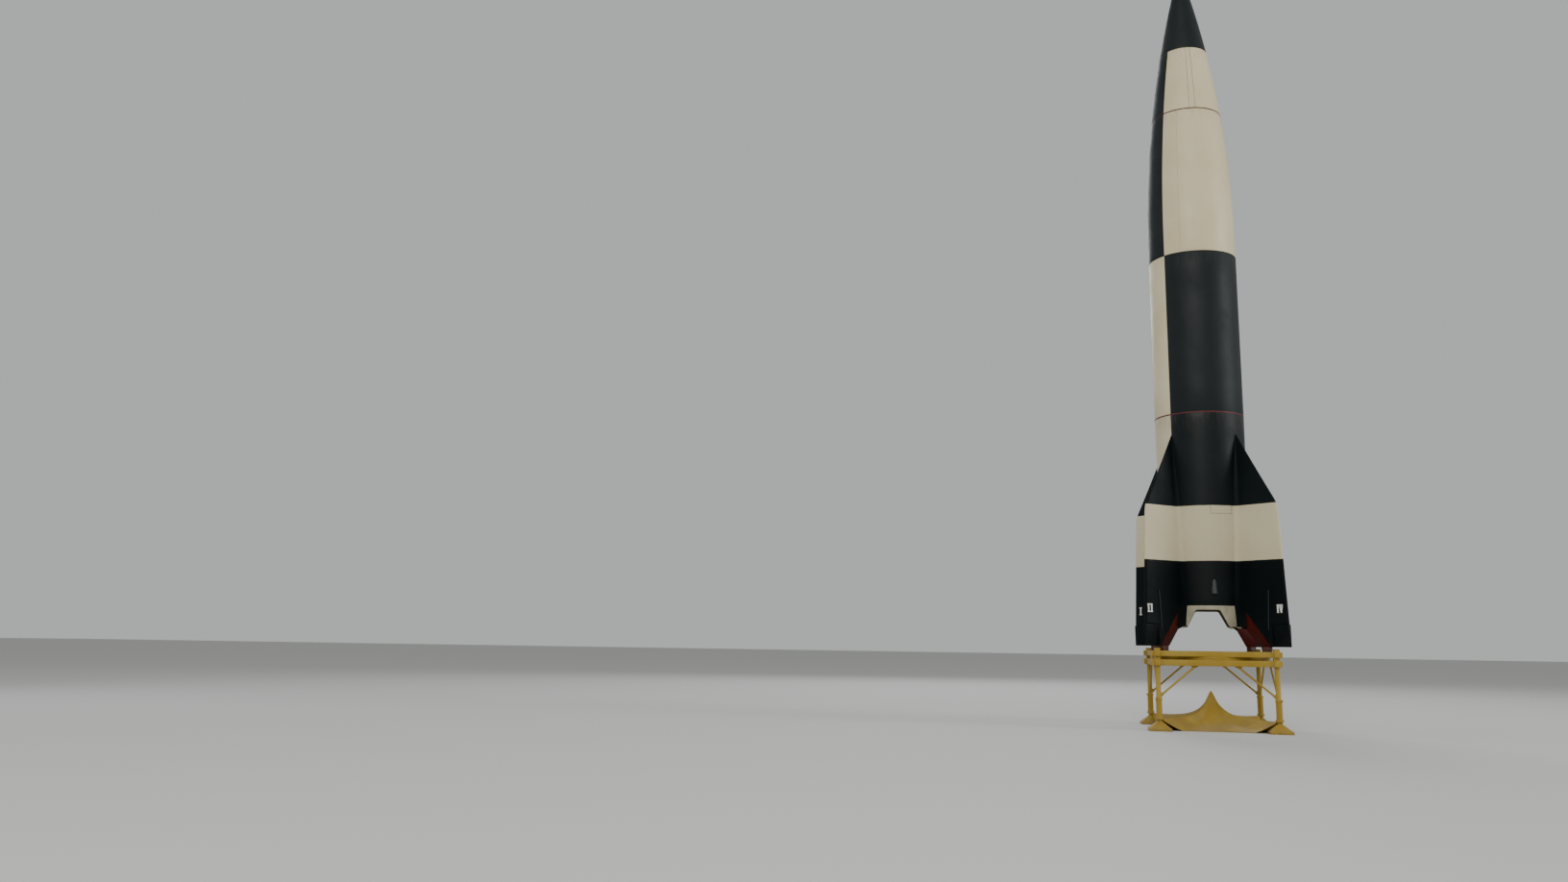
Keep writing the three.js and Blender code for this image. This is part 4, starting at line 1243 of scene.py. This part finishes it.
def bearer_form():
    """A bearer across a corner of the upper frame, with the pad under a fin's foot."""
    corner_reach = (CORNER - RAIL_WIDTH / 2 - 0.0006) * math.sqrt(2)
    r0, r1 = BEARER_RADIUS - BEARER_HALF, BEARER_RADIUS + BEARER_HALF
    w0, w1 = (min(0.23, corner_reach - r) for r in (r0, r1))
    low = UPPER_TOP - BEARER_DEPTH
    base = [(r0, -w0, low), (r1, -w1, low), (r1, w1, low), (r0, w0, low)]
    bar = soften(slab("bearer", base, (0, 0, BEARER_DEPTH)), 0.003, 3)
    foot_half, top_half, top_length = 0.064, 0.048, 0.17
    corners = ((r0, -foot_half), (r1, -foot_half), (r1, foot_half), (r0, foot_half))
    foot = [(r, w, UPPER_TOP - 0.01) for r, w in corners]
    pad = slab("pad", foot, (0, 0, STAND_TOP - UPPER_TOP - 0.004))
    long_share, wide_share = top_length / (2 * BEARER_HALF), top_half / foot_half
    resize_top(pad, long_share, wide_share, (BEARER_RADIUS, 0, STAND_TOP))
    bpy.ops.mesh.extrude_region_move(TRANSFORM_OT_translate={"value": (0, 0, 0.014)})
    object_mode()
    soften(pad, 0.003, 2)
    heads = [bolt((BEARER_RADIUS - 0.03, w, UPPER_TOP), (0, 0, 1)) for w in (-0.10, 0.10)]
    return smooth(joined([bar, pad] + heads, "bearer_form"), 35)


DEFLECTOR_LEVELS = (
    # half width at the sides, height there, half width at the corners, height there
    (0.945, 0.0, 1.005, 0.200),
    (0.790, 0.018, 0.865, 0.201),
    (0.595, 0.062, 0.640, 0.208),
    (0.410, 0.132, 0.430, 0.240),
    (0.245, 0.242, 0.250, 0.318),
    (0.118, 0.402, 0.118, 0.448),
    (0.040, 0.592, 0.040, 0.612),
    (0.006, 0.686, 0.006, 0.686),
)
# how far along a side the deflector lies flat, and where its points are, as shares of the half width
GROUND_SHARE = 0.66
SIDE_SHARES = (-1.0, -0.93, -0.85, -0.76, -GROUND_SHARE, -0.33, 0.0, 0.33, GROUND_SHARE, 0.76, 0.85, 0.93)


def curve_rows(rows, between):
    """More rows on smooth curves through the rows of a table."""
    more = []
    for i in range(len(rows) - 1):
        before, after = rows[max(i - 1, 0)], rows[min(i + 2, len(rows) - 1)]
        for step in range(between):
            t = step / between
            row = []
            for p0, p1, p2, p3 in zip(before, rows[i], rows[i + 1], after):
                bend = 2 * p0 - 5 * p1 + 4 * p2 - p3
                twist = 3 * p1 - p0 - 3 * p2 + p3
                row.append(p1 + 0.5 * t * (p2 - p0 + t * (bend + t * twist)))
            more.append(row)
    return more + [list(rows[-1])]


def deflector_loop(half, side_z, corner_half, corner_z):
    """One closed line round the deflector, flat along the sides and rising to the corners."""
    points = []
    for i in range(4):
        turn = turn_z(90 * i)
        for share in SIDE_SHARES:
            rise = max((abs(share) - GROUND_SHARE) / (1 - GROUND_SHARE), 0)
            width = half + (corner_half - half) * rise
            height = side_z + (corner_z - side_z) * rise ** 1.25
            points.append(tuple(turn @ Vector((width * share, -width, height))))
    return points


def deflector_form():
    """The concave four-sided cone of bent sheet whose corners rise to the feet."""
    piece = bridged("deflector_form", [deflector_loop(*row) for row in curve_rows(DEFLECTOR_LEVELS, 4)])
    pick("edges", lambda m: max(abs(m.x), abs(m.y)) < 0.0065 and m.z > 0.68)
    bpy.ops.mesh.edge_face_add()
    face_out()
    object_mode()
    modify(piece, "SOLIDIFY", thickness=DEFLECTOR_SHEET, offset=1.0)
    for azimuth in FIN_AZIMUTHS.values():
        place = turn_z(azimuth) @ Vector((CORNER * math.sqrt(2), 0, 0))
        cut(piece, rod("flange_cutter", place, place + Vector((0, 0, 0.4)), FLANGE_RADIUS + 0.0015, 48))
    return piece


def stand_part(form, name, place, node, finish=yellow):
    """One of several equal parts of the stand, in place of a node."""
    dress(twin(form, "stand_" + name, place), finish, instead_of=[node])


posts = post_form()
at_corner = Matrix.Translation((CORNER, CORNER, 0))
legs = placed(leg_form(), at_corner @ turn_z(45))
feet = placed(foot_form(), at_corner)
bearers = bearer_form()
upper = rail_form(UPPER_BOTTOM, UPPER_TOP)
lower = rail_form(LOWER_BOTTOM, LOWER_TOP)
braces = {"a": brace_form(-1), "b": brace_form(1)}
for number, azimuth in FIN_AZIMUTHS.items():
    quarter = turn_z(azimuth - 45)
    stand_part(posts, "post_%d" % number, quarter, "corner_post_%d" % number)
    for word, form in (("leg", legs), ("foot", feet)):
        name = "%s_%d" % (word, number)
        stand_part(form, name, quarter, name)
    stand_part(bearers, "bearer_%d" % number, turn_z(azimuth), "fin_bearer_%d" % number, bearer_brown)
for i, side in enumerate(("front", "right", "back", "left")):
    rails_and_braces = [("upper_rail_" + side, upper), ("lower_rail_" + side, lower)]
    rails_and_braces += [("brace_%s_%s" % (side, word), form) for word, form in braces.items()]
    for name, form in rails_and_braces:
        stand_part(form, name, turn_z(90 * i), name)
for form in (posts, legs, feet, bearers, upper, lower, *braces.values()):
    drop(form)
dress(ring_form(), yellow, instead_of=["turntable_ring"]).name = "stand_turntable_ring"
dress(smooth(deflector_form(), 40), yellow_sheet, instead_of=["blast_deflector"]).name = "stand_deflector"


# ---- floor, light and camera ----

floor = begin(bpy.ops.mesh.primitive_plane_add, "studio_floor", size=600, location=(0, 0, 0))
ground = Finish("studio_floor_pale", "ivory_paint")
ground.colour((0.50, 0.50, 0.48))
ground.roughness(0.9)
floor.data.materials.append(ground.material)

world = bpy.data.worlds.new("studio_world")
bpy.context.scene.world = world
world.use_nodes = True
background = world.node_tree.nodes["Background"]
background.inputs["Color"].default_value = (0.86, 0.88, 0.88, 1)
background.inputs["Strength"].default_value = 0.56


def linked(name, data):
    """An object for a light's or camera's data."""
    holder = bpy.data.objects.new(name, data)
    bpy.context.collection.objects.link(holder)
    return holder


def lamp(name, place, aim, size, power, colour):
    """A soft area light of a size across and upwards, turned to what it lights."""
    light = bpy.data.lights.new(name, "AREA")
    light.shape = "RECTANGLE"
    light.size, light.size_y = size
    light.energy = power
    light.color = colour
    holder = linked(name, light)
    holder.location = place
    holder.rotation_euler = (Vector(aim) - Vector(place)).to_track_quat("-Z", "Y").to_euler()


lamp("key_light", (-5, -34, 24), (0, 0, 7), (16, 22), 7600, (1.0, 0.98, 0.94))
lamp("right_light", (30, -5, 13), (0, 0, 7), (10, 20), 4600, (0.97, 0.98, 1.0))
lamp("left_light", (-30, -3, 14), (0, 0, 9), (10, 16), 900, (0.88, 0.94, 1.0))
lamp("back_light", (-6, 26, 22), (0, 0, 8), (16, 16), 4200, (0.95, 0.98, 1.0))

# The camera as fitted to the photo: turns in radians, focal length in pixels, azimuth in degrees.
YAW, TILT, ROLL = 0.3385, 0.1679, 0.0146
FOCAL_PIXELS, PHOTO_WIDTH, SENSOR = 1247.63, 1632, 36.0
CAMERA_DISTANCE, EYE_HEIGHT, CAMERA_AZIMUTH = 24.5505, 1.4552, -6.69
forward = Vector((-math.sin(YAW) * math.cos(TILT), math.cos(YAW) * math.cos(TILT), math.sin(TILT)))
level_right = Vector((math.cos(YAW), math.sin(YAW), 0))
level_up = level_right.cross(forward)
right_axis = level_right * math.cos(ROLL) + level_up * math.sin(ROLL)
up_axis = level_up * math.cos(ROLL) - level_right * math.sin(ROLL)
camera = bpy.data.cameras.new("photo_view")
camera.sensor_width = SENSOR
camera.lens = FOCAL_PIXELS / PHOTO_WIDTH * SENSOR
camera.clip_end = 1000
holder = linked("photo_view", camera)
look = Matrix((right_axis, up_axis, -forward)).transposed().to_4x4()
look.translation = Vector((0, -CAMERA_DISTANCE, EYE_HEIGHT))
holder.matrix_world = turn_z(CAMERA_AZIMUTH) @ look
bpy.context.scene.camera = holder
